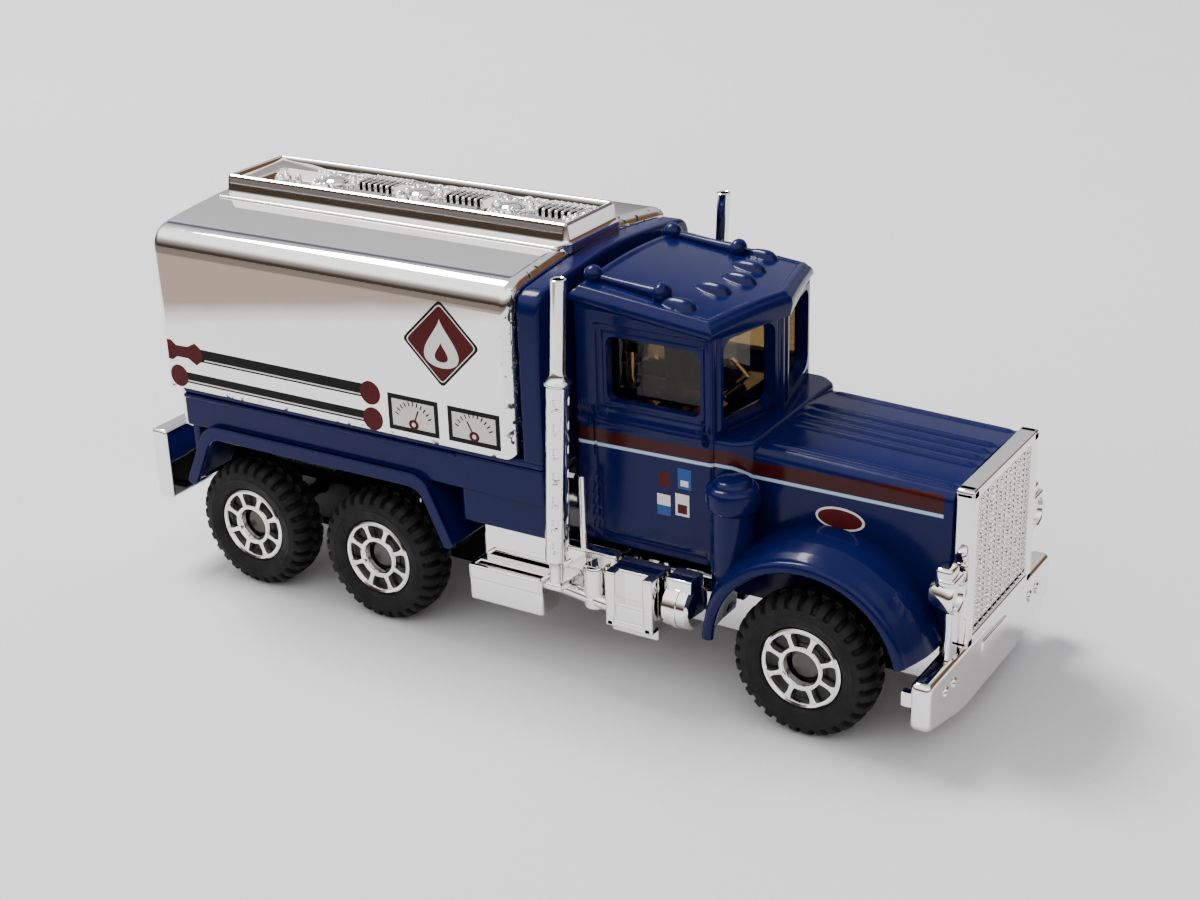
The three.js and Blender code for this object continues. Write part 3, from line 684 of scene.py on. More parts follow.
def roofHorn():
    # a knob, a tube that widens forward and a bell, lying along the roof
    horn = cab["horn"]
    x = np.linspace(horn["knob"], horn["bell"], 16)
    along = np.linspace(0, 1, 16)
    path = np.stack([x, np.full(16, -horn["out"]), roofAt(x) + horn["lift"]], 1)
    knob = ball(path[0] + [0, 0, 0.1], (0.82, 0.8, 0.82), 28)
    bell = ball(path[-1] + [0, 0, 0.1], (0.72, 0.98, 0.92), 28)
    return [tubeAlong(path, 0.32 + 0.30 * along ** 2, 24), knob, bell]


makePiece("cab_walls", cabWalls(), "striped_enamel", ["body_casting"])
makePiece("cab_roof", cabRoof() + bothSides(roofHorn()), "blue_enamel", ["body_casting"], sharp=60)
print("cab made")


# bonnet, cowl, air cleaners and front fenders
bonnet = {
    "rear": 18.4, "front": 36.7, "half": 7.05, "rearTop": 21.0, "frontTop": 20.3, "bottom": 8.0, "wall": 1.0,
    "crown": 0.42, "edge": 0.85, "ribs": (-2.1, -0.7, 0.7, 2.1), "ribWidth": 0.36, "ribHeight": 0.24,
    "cowl": [(16.5, -8.3), (19.2, -8.2), (20.6, -7.0), (20.6, 7.0), (19.2, 8.2), (16.5, 8.3)], "cowlTop": 21.4,
    "cowlFoot": 16.0, "cowlCorner": 0.7, "cowlEdge": 0.40,
}


def bonnetShell():
    # the section runs up one side, over the crowned top with its ribs, down the other and back along the inside
    x = np.linspace(bonnet["rear"], bonnet["front"], 60)[:, None]
    half, edge, wall = bonnet["half"], bonnet["edge"], bonnet["wall"]
    across = np.linspace(-1, 1, 241)
    y = (np.sign(across) * half * (1 - (1 - np.abs(across)) ** 1.25))[None]
    top = bonnet["rearTop"] + (bonnet["frontTop"] - bonnet["rearTop"]) * (x - 17) / (bonnet["front"] - 17)
    z = top + bonnet["crown"] * (1 - (y / half) ** 2) - roundRim(half - np.abs(y), edge)
    fade = easeStep(x, 21.2, 0.8) * easeStep(-x, -36.3, 0.5)
    for rib in bonnet["ribs"]:
        z = z + bonnet["ribHeight"] * fade * np.sqrt(np.clip(1 - ((y - rib) / bonnet["ribWidth"]) ** 2, 0, 1))
    z = z + 0.16 * band(np.abs(y), 5.6, 6.15, 0.25) * fade
    inner = np.linspace(half - wall, wall - half, 9)[None]
    innerTop = top - wall + bonnet["crown"] * (1 - (inner / half) ** 2)
    innerTop = innerTop - roundRim(half - wall - np.abs(inner), 0.5)
    ones = np.ones_like(x)
    foot = bonnet["bottom"] * ones
    ys = [-half * ones, y * ones, half * ones, (half - wall) * ones, inner * ones, (wall - half) * ones]
    ys, zs = np.concatenate(ys, 1), np.concatenate([foot, z, foot, foot, innerTop, foot], 1)
    return swept(np.stack([x * np.ones_like(ys), ys, zs], -1))


airCleaner = {
    "place": (19.6, -9.1, 0),
    "profile": [(0.001, 10.8), (1.45, 10.8), (1.7, 11.05), (1.75, 13.0), (1.75, 16.3), (1.95, 16.45), (2.1, 16.6),
                (2.15, 16.9), (2.15, 18.0), (2.05, 18.25), (1.75, 18.45), (1.6, 18.5), (1.5, 18.75), (1.2, 18.95),
                (0.7, 19.05), (0.001, 19.1)],
}


fender = {
    "centre": (27.1, 5.9), "start": 3.0, "end": 166.0,  # degrees, from behind the tyre over its top
    "profile": [(8.7, 6.5), (9.75, 6.5), (9.8, 8.6), (9.62, 10.0), (9.2, 11.2), (8.85, 11.9), (8.75, 12.3),
                (8.45, 12.5), (8.05, 12.5), (7.8, 12.3), (7.85, 11.9), (8.2, 11.3), (8.6, 10.2), (8.72, 8.8)],
    "apron": ((17.1, 18.6), (-8.5, -6.2), (6.4, 12.0), 0.35),
}


def frontFender():
    ring = softCorners(fender["profile"], 0.16, 4)
    t = np.radians(np.linspace(fender["start"], fender["end"], 90))[:, None]
    cx, cz = fender["centre"]
    tighten = 1 - 0.012 * np.cos(2 * t)  # a little taller than it is long
    x = cx - ring[None, :, 0] * np.cos(t) * tighten
    z = cz + ring[None, :, 0] * np.sin(t)
    y = -np.broadcast_to(ring[None, :, 1], x.shape)
    return [swept(np.stack([x, y, z], -1)), brick(*fender["apron"])]


makePiece("bonnet", [bonnetShell()], "striped_enamel", ["body_casting"])
cowl = softCorners(bonnet["cowl"], bonnet["cowlCorner"], 6)
cowl = slab(cowl, bonnet["cowlFoot"], bonnet["cowlTop"], bonnet["cowlEdge"])
makePiece("cowl", [cowl], "striped_enamel", ["body_casting"])
for hand, turn in hands.items():
    cleaner = turnedOn(airCleaner["profile"], airCleaner["place"], "z", 40)
    makePiece("air_cleaner_" + hand, turn([cleaner]), "blue_enamel", ["body_casting"])
    makePiece("front_fender_" + hand, turn(frontFender()), "blue_enamel", ["body_casting"], sharp=50)
print("bonnet and fenders made")


# bed: deck, rail, mudguards, side panels, bulkhead and the posts that hold the base
bed = {
    "rear": -34.2, "front": 4.2, "top": 18.15, "half": 11.6, "guardTop": 14.9, "guardLow": 8.9, "lip": 0.9,
    "run": 2.85, "guardRear": -31.6, "guardFront": -7.6, "guardOut": 12.7,
    "posts": (-20.3, 10.0), "postRadius": 1.4, "postHeights": (4.1, 12.0, 16.9),
    "head": [(0.01, 4.0), (1.9, 4.0), (2.15, 4.12), (2.15, 4.35), (0.01, 4.35)],  # spread to hold the base pan
}


def mudguard():
    # a trapezium over two wheels and the same one again inside it, joined at their feet, with a lip outside
    rear, front, run = bed["guardRear"], bed["guardFront"], bed["run"]
    low, top, out = bed["guardLow"], bed["guardTop"], bed["guardOut"]
    under = top - bed["lip"]
    outer = [(rear - run, low), (rear, top), (front, top), (front + run, low)]
    inner = [(front + run - 1.0, low), (front - 0.5, under), (rear + 0.5, under), (rear - run + 1.0, low)]
    lower = [(x, z - 0.35) for x, z in inner]
    # the corner radii run round the outline in the same order as its corners
    shell = softCorners(outer + inner, [0.48, 1.5, 1.5, 0.48, 0.48, 1.2, 1.2, 0.48], 8)
    lip = softCorners(outer + lower, [0.42, 1.5, 1.5, 0.42, 0.42, 1.2, 1.2, 0.42], 8)
    return [slab(shell, -out, -8.0, 0.12, "y"), slab(lip, -out - 0.05, -out + 0.45, 0.1, "y")]


def bedParts():
    b = bed
    rail = brick((b["rear"], b["front"]), (-12.2, 12.2), (17.45, b["top"]), 0.22)
    top = brick((b["rear"], b["front"]), (-b["half"], b["half"]), (16.9, b["top"] - 0.1), 0.2)
    wall = brick((b["rear"], b["front"]), (-12.15, -10.6), (14.3, 17.4), 0.2)
    ledge = brick((b["rear"] + 0.1, -4.4), (-12.3, -11.2), (17.0, 17.35), 0.12)
    panel = brick((-4.4, b["front"]), (-11.8, -9.4), (11.2, b["top"] - 0.05), 0.3)
    rear = brick((b["rear"], b["rear"] + 1.0), (-b["half"], b["half"]), (b["guardLow"], b["top"]), 0.3, "x")
    bridge = brick((3.7, 5.5), (-7, 7), (12, 17), 0.3)
    posts = [tubeAlong([(x, 0, z) for z in b["postHeights"]], b["postRadius"], 24, 0.1) for x in b["posts"]]
    heads = [turnedOn(b["head"], (x, 0, 0), "z") for x in b["posts"]]
    sides = bothSides([wall]) + bothSides([panel]) + bothSides([ledge])
    return [rail, top] + sides + [rear, bridge] + posts + heads


tank = {
    "rear": -35.5, "front": 2.0, "half": 12.8, "bottom": 18.2, "shoulder": 30.4, "roofEdge": 32.95, "roof": 33.8,
    "curve": 2.3, "rim": 0.95, "archAt": 3.9, "skirt": ((-35.3, -34.25), (-11.3, 11.3), (13.6, 18.6), 0.25, "x"),
}
walkway = {
    "half": 3.9, "rear": -34.1, "front": 1.9, "foot": 33.0, "top": 33.76, "floor": 34.2,
    # (inset, height) round the kerb, from its foot outside over the top to its foot inside
    "kerb": [(-0.35, 33.0), (-0.35, 33.72), (-0.12, 33.80), (0.0, 34.0), (0.11, 35.0), (0.17, 35.2), (0.32, 35.3),
             (0.46, 35.27), (0.57, 35.15), (0.62, 34.9), (0.75, 34.3), (1.0, 34.1), (1.0, 33.0)],
    "hatch": [(0.01, 34.0), (1.45, 34.0), (1.45, 34.55), (1.35, 34.68), (1.1, 34.72), (0.95, 34.85), (0.5, 34.98),
              (0.01, 35.0)],
    # along x, and whether a hatch is there
    "places": {-30.4: False, -25.4: True, -16.0: True, -6.6: True, 0.0: False},
}


def tankOutline(inset, bottom):
    # upright sides, then quadratic curves: shoulder and gently arched roof
    t = tank
    half, reach, archAt = t["half"] - inset, t["curve"] - inset, t["archAt"]
    edge, roof = t["roofEdge"] - inset, t["roof"] - inset
    s = np.linspace(0, 1, 15)[:, None]
    bend = (1 - s) ** 2 * [half, t["shoulder"]] + 2 * s * (1 - s) * [half, edge - 0.25]
    bend = bend + s ** 2 * [half - reach, edge]
    s = np.linspace(0, 1, 22)[1:, None]
    arch = (1 - s) ** 2 * [half - reach, edge] + 2 * s * (1 - s) * [archAt, roof] + s ** 2 * [0, roof]
    right = np.concatenate([[[half, bottom]], bend, arch])
    return np.concatenate([right, right[-2::-1] * [-1, 1]])


def trough():
    # a kerb round a floor, with hatches, fins and small lumps along it
    w = walkway
    corners = rectangle(w["rear"], -w["half"], w["front"], w["half"])
    plinth = brick((w["rear"] - 0.2, w["front"] - 0.25), (-5.15, 5.15), (w["foot"], w["top"]), 0.25)
    floor = brick((w["rear"] + 0.3, w["front"] - 0.3), (-3.5, 3.5), (33.5, w["floor"]), 0.05)
    parts = [moulding(corners, 0.45, w["kerb"]), plinth, floor]
    for k, (x, full) in enumerate(w["places"].items()):
        if full:
            parts.append(turnedOn(w["hatch"], (x, 0.7, 0), "z", 28))
            parts.append(brick((x + 2.3, x + 6.9), (-3.1, -0.7), (34.1, 34.62), 0.14))
            parts += [brick((x + fin - 0.16, x + fin + 0.16), (0.5, 3.1), (34.1, 34.85), 0.08)
                      for fin in np.linspace(2.7, 6.5, 7)]
        for lump in range(16 if full else 6):
            turn, far = lump * 2.4, (0.35 + 0.65 * ((lump * 0.618) % 1)) * (1.0 if full else 0.5)
            size = 0.30 + 0.28 * ((lump * 0.37 + k * 0.21) % 1)
            spot = (x + 2.1 * far * math.cos(turn), 2.75 * far * math.sin(turn), 34.25)
            parts.append(ball(spot, (size, size, size * 1.35), 12))
    return parts


makePiece("bed", bedParts(), "blue_enamel", ["body_casting"])
for hand, turn in hands.items():
    makePiece("mudguard_" + hand, turn(mudguard()), "blue_enamel", ["body_casting"])
bulkhead = slab(tankOutline(0.7, 17.6), 2.1, bed["front"], 0.4, "x", 4)
makePiece("bulkhead", [bulkhead], "blue_enamel", ["body_casting"])
skin = slab(tankOutline(0, tank["bottom"]), tank["rear"], tank["front"], tank["rim"], "x", 8)
makePiece("tank_skin", [skin], "chipped_plating", ["tank_shell"])
makePiece("tank_walkway", trough(), "plated_trim", ["tank_shell"])
makePiece("tank_skirt", [brick(*tank["skirt"])], "plated_trim", ["tank_shell"])
print("bed and tank made")


# prints on the tank, the doors and the bonnet: thin slabs, each colour standing a hair above the one below
prints = {
    "inks": {"maroon": (0.055, 0.004, 0.005), "black": (0.003, 0.003, 0.003), "pale": (0.55, 0.55, 0.53),
             "grey": (0.50, 0.50, 0.48), "skyBlue": (0.02, 0.06, 0.20)},
    "step": 0.008,  # mm between layers
    "diamond": [(-4.6, 30.8), (-8.5, 27.0), (-4.75, 23.3), (-0.9, 27.2)], "diamondRound": 0.45,
    "drops": {"pale": ((-4.68, 27.1), 4.2, 3.4), "maroon": ((-4.68, 26.35), 1.7, 1.3)},  # middle, height, width
    "gauges": [(-7.95, 18.7, 5.1, 3.2, 68), (-1.9, 18.8, 5.1, 3.05, 118)],  # middle, foot, width, height, angle
    "hoses": [(-30.9, 21.0, -12.2, 22.2), (-33.6, 18.78, -12.3, 19.78)],  # two opposite corners of each
    "caps": [(-12.3, 21.5, 1.05, 2), (-33.7, 19.3, 1.02, 2), (-12.2, 19.2, 1.02, 4)],  # middle, radius, layer
    "nozzle": [(-34.75, 20.75), (-34.3, 20.7), (-33.7, 21.1), (-32.4, 21.1), (-31.5, 20.6), (-30.9, 21.0),
               (-30.7, 21.6), (-30.9, 22.25), (-31.5, 22.65), (-32.4, 22.2), (-33.7, 22.15), (-34.3, 22.6),
               (-34.75, 22.55)],
    # squares on the doors: two opposite corners and a layer; and an oval badge on the bonnet's sides
    "doors": {"maroon": [(12.7, 16.6, 13.65, 17.9, 0), (14.35, 14.6, 15.2, 15.4, 1)],
              "skyBlue": [(14.4, 16.75, 15.6, 18.5, 0), (12.5, 14.15, 13.7, 15.0, 1)],
              "pale": [(14.65, 17.0, 15.35, 17.5, 1), (12.5, 14.15, 13.7, 15.95, 0),
                       (14.15, 14.4, 15.4, 16.3, 0)]},
    "badge": {"pale": ((27.7, 16.4), (2.05, 0.95), 2), "maroon": ((27.7, 16.4), (1.85, 0.77), 4)},
}


def printed(outline, layer, face):
    # an outline drawn from the side, from just under the surface to its own layer above it
    return slab(outline, -face - (layer + 1) * prints["step"], -face + 0.05, 0, "y")


def shrunk(outline, factor):
    middle = np.mean(outline, 0)
    return middle + (np.asarray(outline) - middle) * factor


def dropOutline(centre, high, wide):
    # a plain drop: half width sin t (1 - cos t) / 1.3, height from its round foot to its tip
    t = np.linspace(0, tau, 48, endpoint=False)
    return np.array(centre) + np.stack([wide / 2 * np.sin(t) * (1 - np.cos(t)) / 1.3, high / 2 * np.cos(t)], 1)


def gaugePrints(x, low, wide, high, needle):
    # black frame, grey field, a fan of ticks and a needle on its pivot
    rear, front, border = x - wide / 2, x + wide / 2, 0.42
    box = rectangle(rear, low, front, low + high)
    field = rectangle(rear + border, low + border, front - border, low + high - border)
    pivot = np.array([x, low + border + 0.35])

    def ray(degrees, near, far, half):
        along = np.array([math.cos(math.radians(degrees)), math.sin(math.radians(degrees))])
        across = np.array([-along[1], along[0]]) * half
        return [pivot + along * near - across, pivot + along * far - across, pivot + along * far + across,
                pivot + along * near + across]

    ticks = [(ray(degrees, 1.62, 2.02, 0.06), 2) for degrees in np.linspace(24, 156, 11)]
    return {"black": [(box, 0)] + ticks, "grey": [(field, 1), (oval(pivot, (0.2, 0.2), 16), 4)],
            "maroon": [(ray(needle, 0.2, 1.4, 0.075), 2), (oval(pivot, (0.50, 0.44), 24), 3)]}


def tankPrints():
    # outlines and their layers by ink: a diamond with a drop, hoses with a line of light and caps, and gauges
    diamond = softCorners(prints["diamond"], prints["diamondRound"], 6)
    drops = {ink: dropOutline(*drop) for ink, drop in prints["drops"].items()}
    inks = {"black": [(diamond, 0)], "pale": [(shrunk(diamond, 0.92), 1), (drops["pale"], 3)], "grey": [],
            "maroon": [(shrunk(diamond, 0.885), 2), (drops["maroon"], 4)]}
    for x0, low, x1, high in prints["hoses"]:
        inks["black"].append((rectangle(x0, low, x1, high), 0))
        inks["pale"].append((rectangle(x0 + 0.4, low + 0.16, x1 - 0.5, low + 0.16 + 0.12), 1))
    inks["maroon"] += [(oval((x, z), (r, r), 32), layer) for x, z, r, layer in prints["caps"]]
    inks["maroon"].append((prints["nozzle"], 1))
    for gauge in prints["gauges"]:
        for ink, shapes in gaugePrints(*gauge).items():
            inks[ink] += shapes
    return inks


for ink, colour in prints["inks"].items():
    # tampo ink: nearly flat colour with a little mottling
    mottled = [colour, tuple(min(1.0, 1.15 * c + 0.004) for c in colour)]
    look["print_" + ink] = makeFinish("print_" + ink, mottled, (500, 4), (0.27, 0.43), (1200, 3),
                                      inputs={"Specular IOR Level": 0.1})
for ink, shapes in tankPrints().items():
    near = [printed(outline, layer, tank["half"]) for outline, layer in shapes]
    makePiece("tank_print_" + ink, bothSides(near), "print_" + ink, slot="plated_trim")
for ink, squares in prints["doors"].items():
    near = [printed(rectangle(*corners), layer, cab["half"]) for *corners, layer in squares]
    if ink in prints["badge"]:
        middle, sizes, layer = prints["badge"][ink]
        near.append(printed(oval(middle, sizes), layer, bonnet["half"]))
    makePiece("side_print_" + ink, bothSides(near), "print_" + ink, slot="blue_enamel")
print("prints made")


# wheels
wheel = {
    "radius": 5.9, "face": 12.45, "inner": 9.2, "pocket": 0.75, "spokes": 8, "lugs": 30, "groove": 0.42,
    "stations": {"front": 27.1, "middle": -13.25, "rear": -27.35},
    # a spoke's half width by its distance from the axle
    "spoke": {1.7: 0.30, 2.0: 0.215, 2.35: 0.20, 2.6: 0.21, 2.8: 0.27, 3.0: 0.42},
    # tyre section from bead to bead over the tread: (radius, distance from the truck's middle)
    "section": [(3.45, 8.95), (4.6, 8.9), (5.15, 8.95), (5.5, 9.2), (5.75, 9.55), (5.87, 10.0), (5.9, 10.5),
                (5.9, 10.8), (5.9, 11.1), (5.9, 11.5), (5.86, 11.9), (5.72, 12.25), (5.5, 12.52), (5.2, 12.68),
                (4.9, 12.76), (4.5, 12.79), (4.1, 12.74), (3.75, 12.62), (3.5, 12.42), (3.42, 12.1)],
    "crown": 10.85,
}


def spokeOutline(turn):
    reach, wide = np.array(list(wheel["spoke"].items())).T
    flat = np.concatenate([np.stack([reach, wide], 1), np.stack([reach, -wide], 1)[::-1]])
    c, s = math.cos(turn), math.sin(turn)
    return flat @ np.array([[c, s], [-s, c]])


def wheelFace(x):
    # bright rim ring, hub ring and spokes; the profile is (radius, distance from the middle of the truck)
    face = wheel["face"]
    rim = [(2.94, face - 0.7), (2.94, face - 0.12), (3.02, face), (3.22, face + 0.06), (3.36, face - 0.02),
           (3.42, face - 0.2), (3.42, face - 0.7)]
    hub = [(1.42, face - 1.2), (1.46, face - 0.1), (1.55, face + 0.02), (1.80, face + 0.02), (1.88, face - 0.1),
           (1.88, face - 0.7)]
    parts = [turnedOn([(r, -y) for r, y in ring], (x, 0, wheel["radius"]), "y", 96) for ring in (rim, hub)]
    for k in range(wheel["spokes"]):
        flat = spokeOutline((k + 0.5) * tau / wheel["spokes"]) + [x, wheel["radius"]]
        parts.append(slab(flat, -face + 0.01, -face + 0.62, 0.07, "y", 2))
    return parts


def wheelBarrel(x):
    face, inner, floor = wheel["face"], wheel["inner"], wheel["face"] - wheel["pocket"]
    profile = [(0.8, inner), (3.3, inner), (3.42, inner + 0.2), (3.42, face - 0.3), (3.3, floor),
               (2.3, floor - 0.05), (1.6, floor), (1.5, face - 0.8), (1.35, face - 1.3), (0.8, face - 1.35)]
    return [turnedOn([(r, -y) for r, y in profile], (x, 0, wheel["radius"]), "y", 72)]


def knobblyTyre(x):
    # a tyre section carried round the axle, its tread cut by grooves staggered between the two shoulders
    section, crown = np.array(wheel["section"]), wheel["crown"]
    along = np.linspace(0, len(section) - 1, 76)
    r0, y0 = (np.interp(along, np.arange(len(section)), section[:, k])[None] for k in (0, 1))
    t = (np.arange(480) / 480 * tau)[:, None]
    phase = (t / tau * wheel["lugs"] + 0.5 * easeStep(y0, crown, 0.25)) % 1.0
    cut = 1 - band(phase, 0.18, 0.82, 0.14)
    middle = band(y0, crown - 0.13, crown + 0.13, 0.12)
    depth = np.maximum(cut * easeStep(r0, 5.12, 0.3), 0.55 * middle) * wheel["groove"]
    outwards = np.gradient(np.concatenate([r0, y0]), axis=1)
    outwards = outwards / np.linalg.norm(outwards, axis=0)
    r = r0 - depth * np.abs(outwards[1])
    y = y0 + 0.8 * depth * np.abs(outwards[0]) * np.where(y0 > crown, -1, 1)
    y = y + 0.06 * band(r0, 4.35, 4.55, 0.08) * (y0 > 12)  # a fine ring on the outer wall
    points = np.stack([x + r * np.cos(t), np.broadcast_to(-y, r.shape), wheel["radius"] + r * np.sin(t)], -1)
    return [(points.reshape(-1, 3), quadsOf(*r.shape, closeRows=True, closeCols=True).tolist())]


for station, x in wheel["stations"].items():
    for hand, turn in hands.items():
        where = "_" + station + "_" + hand
        disc, body = ["wheel_disc" + where], "wheel" + where
        makePiece("wheel_face" + where, turn(wheelFace(x)), "plated_trim", disc, body)
        makePiece("wheel_barrel" + where, turn(wheelBarrel(x)), "black_plastic", disc, body)
        makePiece("knobbly_tyre" + where, turn(knobblyTyre(x)), "tyre_rubber", ["tyre" + where], body, sharp=45)
print("wheels made")


# trim: grille, headlamps, bumpers, stacks and the boxes along the sides
grille = {
    "rear": 36.75, "front": 38.2, "half": 6.8, "low": 7.6, "high": 20.75, "frame": 1.15, "ends": 0.9, "edge": 0.2,
    "bars": 5, "mesh": 0.48, "row": 0.46, "set": 0.55, "relief": 0.22, "dash": 0.62, "groove": 0.35,
}


def grilleParts():
    # a surround of four bars round a sheet woven in chevrons, with upright grooves broken into dashes
    g = grille
    x, half, low, high = (g["rear"], g["front"]), g["half"], g["low"], g["high"]
    bars = [((half - g["frame"], half), (low, high)), ((-half, g["frame"] - half), (low, high)),
            ((-half, half), (high - g["ends"], high)), ((-half, half), (low, low + g["ends"]))]
    w, h = half - g["frame"] + 0.1, (high - low) / 2 - g["frame"] + 0.1
    y = np.linspace(-w, w, 260)[:, None]
    z = np.linspace(-h, h, 210)[None]
    chevrons = np.abs(np.sin(math.pi * (z / g["row"] + 0.9 * np.abs((y / g["mesh"]) % 2 - 1))))
    out = g["front"] - g["set"] + g["relief"] * chevrons * (0.8 + 0.2 * np.cos(tau * y / g["mesh"]))
    pitch = 2 * w / (g["bars"] + 1)
    fromGroove = np.abs((y + w) / pitch - np.round((y + w) / pitch)) * pitch
    dash = band((z / g["dash"]) % 1.0, 0.22, 0.78, 0.25)
    out = out - g["groove"] * (1 - easeStep(fromGroove, 0.16, 0.12)) * dash
    points = np.stack(np.broadcast_arrays(out, y, z + (high + low) / 2), -1)
    sheet, faces = blanket(points[..., [1, 2, 0]], g["rear"])
    return [brick(x, *bar, g["edge"], "x") for bar in bars] + [(sheet[:, [2, 0, 1]], faces)]


# pieces built of plain shapes: boxes by their ranges along x, y and z and an edge; turned profiles with their
# place, axis and count of steps; and tubes with their radius and count of steps
shapeOf = {"turned": turnedOn, "boxes": brick, "tubes": tubeAlong}


def plainShapes(settings):
    return [shapeOf[kind](*row) for kind, rows in settings.items() for row in rows.values()]


headlamp = {
    "turned": {"pod": ([(0.01, 35.95), (0.95, 35.95), (1.08, 36.2), (1.3, 36.9), (1.42, 37.3), (1.46, 37.6),
                        (1.42, 37.85), (1.3, 37.98), (1.15, 37.9), (1.05, 37.6), (0.7, 37.72), (0.01, 37.8)],
                       (0, -8.4, 12.9), "x", 40)},
    "boxes": {"cap": ((36.25, 37.75), (-9.3, -7.5), (13.0, 15.3), 0.35),
              "brow": ((36.6, 38.0), (-9.5, -7.3), (13.9, 14.5), 0.2),
              "bracket": ((36.9, 37.5), (-8.6, -6.9), (7.4, 12.5), 0.15)},
}
frontBumper = {
    "outline": [(-12.8, 3.4), (-6.0, 1.75), (6.0, 1.75), (12.8, 3.4), (12.8, 7.35), (-12.8, 7.35)],
    "corners": [0.7, 1.2, 1.2, 0.7, 0.7, 0.7], "x": (36.1, 37.8), "edge": 0.5,
    "plate": ((37.4, 37.95), (-2.6, 2.6), (4.5, 6.3), 0.15), "height": 5.4, "bosses": (-9.6, -8.0, 8.0, 9.6),
    "boss": [(0.01, 37.5), (0.5, 37.5), (0.5, 37.85), (0.4, 37.97), (0.01, 38.0)],
    "arms": [((35.65, 36.3), (-5.5, -3.5), (4.4, 6.8), 0.1), ((35.4, 36.3), (-12.7, -11.9), (5.2, 6.4), 0.1)],
}
rearBumper = {
    "bar": rectangle(-38.2, 6.6, -36.4, 13.4), "corner": 0.5, "half": 12.8, "edge": 0.32,
    "arm": ((-36.6, -35.05), (-5.5, -3.5), (6.7, 8.2), 0.1),
}


def frontBumperParts():
    b = frontBumper
    bar = slab(softCorners(b["outline"], b["corners"], 8), *b["x"], b["edge"], "x", 6)
    bosses = [turnedOn(b["boss"], (0, y, b["height"]), "x", 20) for y in b["bosses"]]
    return [bar, brick(*b["plate"])] + bosses + bothSides([brick(*arm) for arm in b["arms"]])


def rearBumperParts():
    b = rearBumper
    bar = slab(softCorners(b["bar"], b["corner"], 6), -b["half"], b["half"], b["edge"], "y", 5)
    return [bar] + bothSides([brick(*b["arm"])])


stack = {
    "foot": (5.6, 8.3), "tip": (6.97, 34.25), "out": 13.1, "shield": (10.4, 26.05), "slots": 7,
    "radius": 0.62, "swell": 0.31, "slotDepth": 0.36, "slotsAt": [-155, -65, 25, 115],  # degrees round the pipe
    "bore": [(0.86, 0.06), (0.70, 0.0), (0.68, -0.9)],  # share of the tip's radius, and rise
    "base": ((4.8, 6.4), (-13.7, -10.45), (7.9, 8.5), 0.15),
}


def stackParts():
    # radius by height, with rows of slots let into the shield on four sides
    (x0, z0), (x1, z1) = stack["foot"], stack["tip"]
    low, high = stack["shield"]
    z = [np.linspace(z0, low, 8), np.linspace(low, high, 230), np.linspace(high, z1, 30)]
    z = np.concatenate(z)[:, None]
    t = (np.arange(64) / 64 * tau)[None]
    r = stack["radius"] + stack["swell"] * band(z, low, high, 0.3)
    r = r + 0.16 * band(z, high - 0.35, high + 0.3, 0.2) - 0.08 * band(z, z0, z0 + 1.6, 0.6)
    step = (high - low - 1.2) / stack["slots"]
    along = ((z - low - 0.6) / step) % 1.0
    inside = band(along, 0.22, 0.62, 0.1) * band(z, low + 0.5, high - 0.6, 0.2)
    turns = np.radians(stack["slotsAt"])
    around = np.minimum.reduce([np.abs((t - turn + math.pi) % tau - math.pi) for turn in turns])
    r = r - stack["slotDepth"] * inside * (1 - easeStep(around, 0.30, 0.12))
    x = x0 + (x1 - x0) * (z - z0) / (z1 - z0) + r * np.cos(t)
    points = np.stack([x, -stack["out"] + r * np.sin(t), np.broadcast_to(z, r.shape)], -1)
    tip = points[-1:]
    centre = tip.mean(1, keepdims=True)
    bore = [centre + (tip - centre) * share + [0, 0, rise] for share, rise in stack["bore"]]
    return [swept(np.concatenate([points] + bore)), brick(*stack["base"])]


stepBox = {
    "boxes": {"tray": ((-3.3, 4.0), (-12.9, -10.4), (4.7, 7.0), 0.22),
              "back": ((-2.9, 4.0), (-11.0, -10.2), (4.7, 11.1), 0.2),
              "inboard": ((-2.0, 3.0), (-10.6, -5.95), (5.0, 7.6), 0.1),
              "outer rim": ((-3.3, 4.0), (-12.9, -12.35), (6.6, 7.9), 0.18),
              "inner rim": ((-3.3, 4.0), (-11.65, -10.4), (6.6, 7.9), 0.18),
              "rear rim": ((-3.3, -2.8), (-12.9, -10.4), (6.6, 7.9), 0.15),
              "front rim": ((3.5, 4.0), (-12.9, -10.4), (6.6, 7.9), 0.15)},
}
sideBracket = {
    "boxes": {"shelf": ((4.2, 9.6), (-10.4, -9.0), (7.8, 10.4), 0.25),
              "strut": ((6.9, 9.1), (-11, -5.95), (6.2, 8.6), 0.15)},
    "turned": {"drum": ([(0.01, 6.0), (0.9, 6.0), (1.0, 6.15), (1.0, 9.4), (0.85, 9.6), (0.01, 9.6)],
                        (8.0, -11.0, 0), "z", 28)},
    "tubes": {"pipe": ([(4.5, -11.4, 7.2), (6.0, -11.4, 7.1), (8.0, -11.4, 6.8), (9.6, -11.4, 6.6)], 0.6, 20),
              "rear bar": ([(4.55, -9.7, 10), (4.55, -9.7, 16.4)], 0.3, 14),
              "front bar": ([(6.4, -10, 10), (6.4, -10, 16.6)], 0.3, 14)},
}
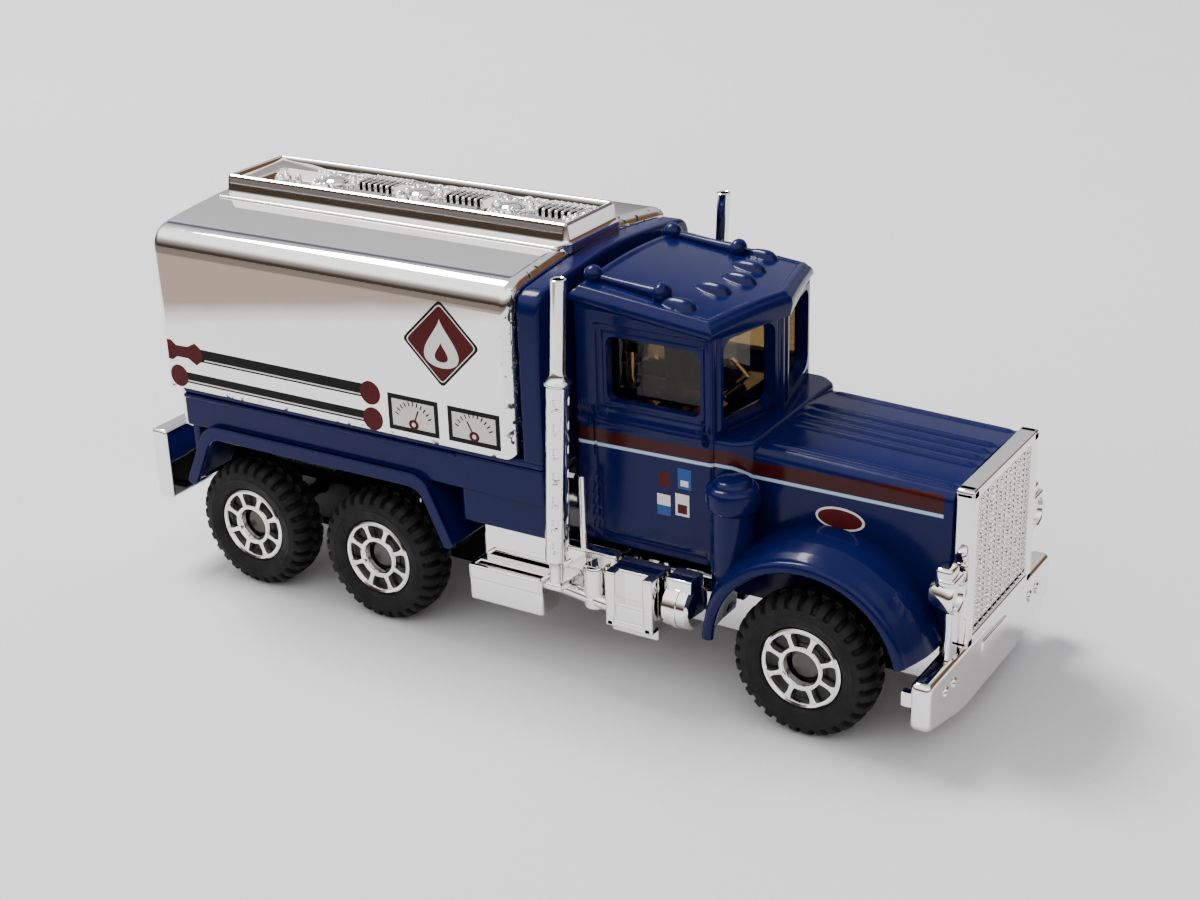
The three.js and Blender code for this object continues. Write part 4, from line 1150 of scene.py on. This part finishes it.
toolBox = {  # two upright posts with an open recess between them, over a ledge
    "boxes": {"box": ((9.8, 14.2), (-11.7, -9.2), (4.5, 10.2), 0.2),
              "inboard": ((10.6, 13.4), (-9.4, -5.95), (5.0, 8.0), 0.1),
              "rear post": ((9.8, 10.75), (-12.6, -11.4), (5.4, 10.2), 0.16),
              "front post": ((13.25, 14.2), (-12.6, -11.4), (5.4, 10.2), 0.16),
              "ledge": ((9.8, 14.2), (-12.6, -11.4), (5.4, 6.0), 0.14),
              "recess": ((10.5, 13.5), (-12.35, -11.4), (5.9, 7.4), 0.14)},
}
fuelTank = {
    "turned": {"barrel": ([(0.01, 14.5), (1.6, 14.5), (1.9, 14.75), (1.9, 16.75), (1.6, 17.0), (0.01, 17.0)],
                          (0, -10.2, 7.6), "x", 36),
               "strap": ([(1.85, 15.5), (1.98, 15.55), (1.98, 15.95), (1.85, 16.0)], (0, -10.2, 7.6), "x", 36)},
    "boxes": {"top": ((14.6, 17.0), (-11.2, -9.0), (9.0, 10.2), 0.2),
              "inboard": ((15.0, 16.5), (-9.6, -5.95), (6.6, 8.2), 0.1)},
}

makePiece("grille_mesh", grilleParts(), "plated_trim", ["grille"], sharp=60)
makePiece("front_bumper_bar", frontBumperParts(), "plated_trim", ["front_bumper"])
makePiece("rear_bumper_bar", rearBumperParts(), "plated_trim", ["rear_bumper"])
sideTrim = {"headlamp": plainShapes(headlamp), "exhaust_stack": stackParts(), "step_box": plainShapes(stepBox),
            "side_bracket": plainShapes(sideBracket), "tool_box": plainShapes(toolBox),
            "fuel_tank": plainShapes(fuelTank)}
for name, parts in sideTrim.items():
    for hand, turn in hands.items():
        where = name + "_" + hand
        makePiece("plated_" + where, turn(parts), "plated_trim", [where])
cadFinishes = {"window_glazing": "amber_glazing", "cab_interior": "plated_trim", "base_pan": "plated_trim",
               "axle_front": "axle_steel", "axle_middle": "axle_steel", "axle_rear": "axle_steel"}
for name, finish in cadFinishes.items():
    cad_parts[name].material_slots[0].material = look[finish]
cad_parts["window_glazing"].visible_shadow = False  # light reaches the seats straight through the panes
print("trim made")
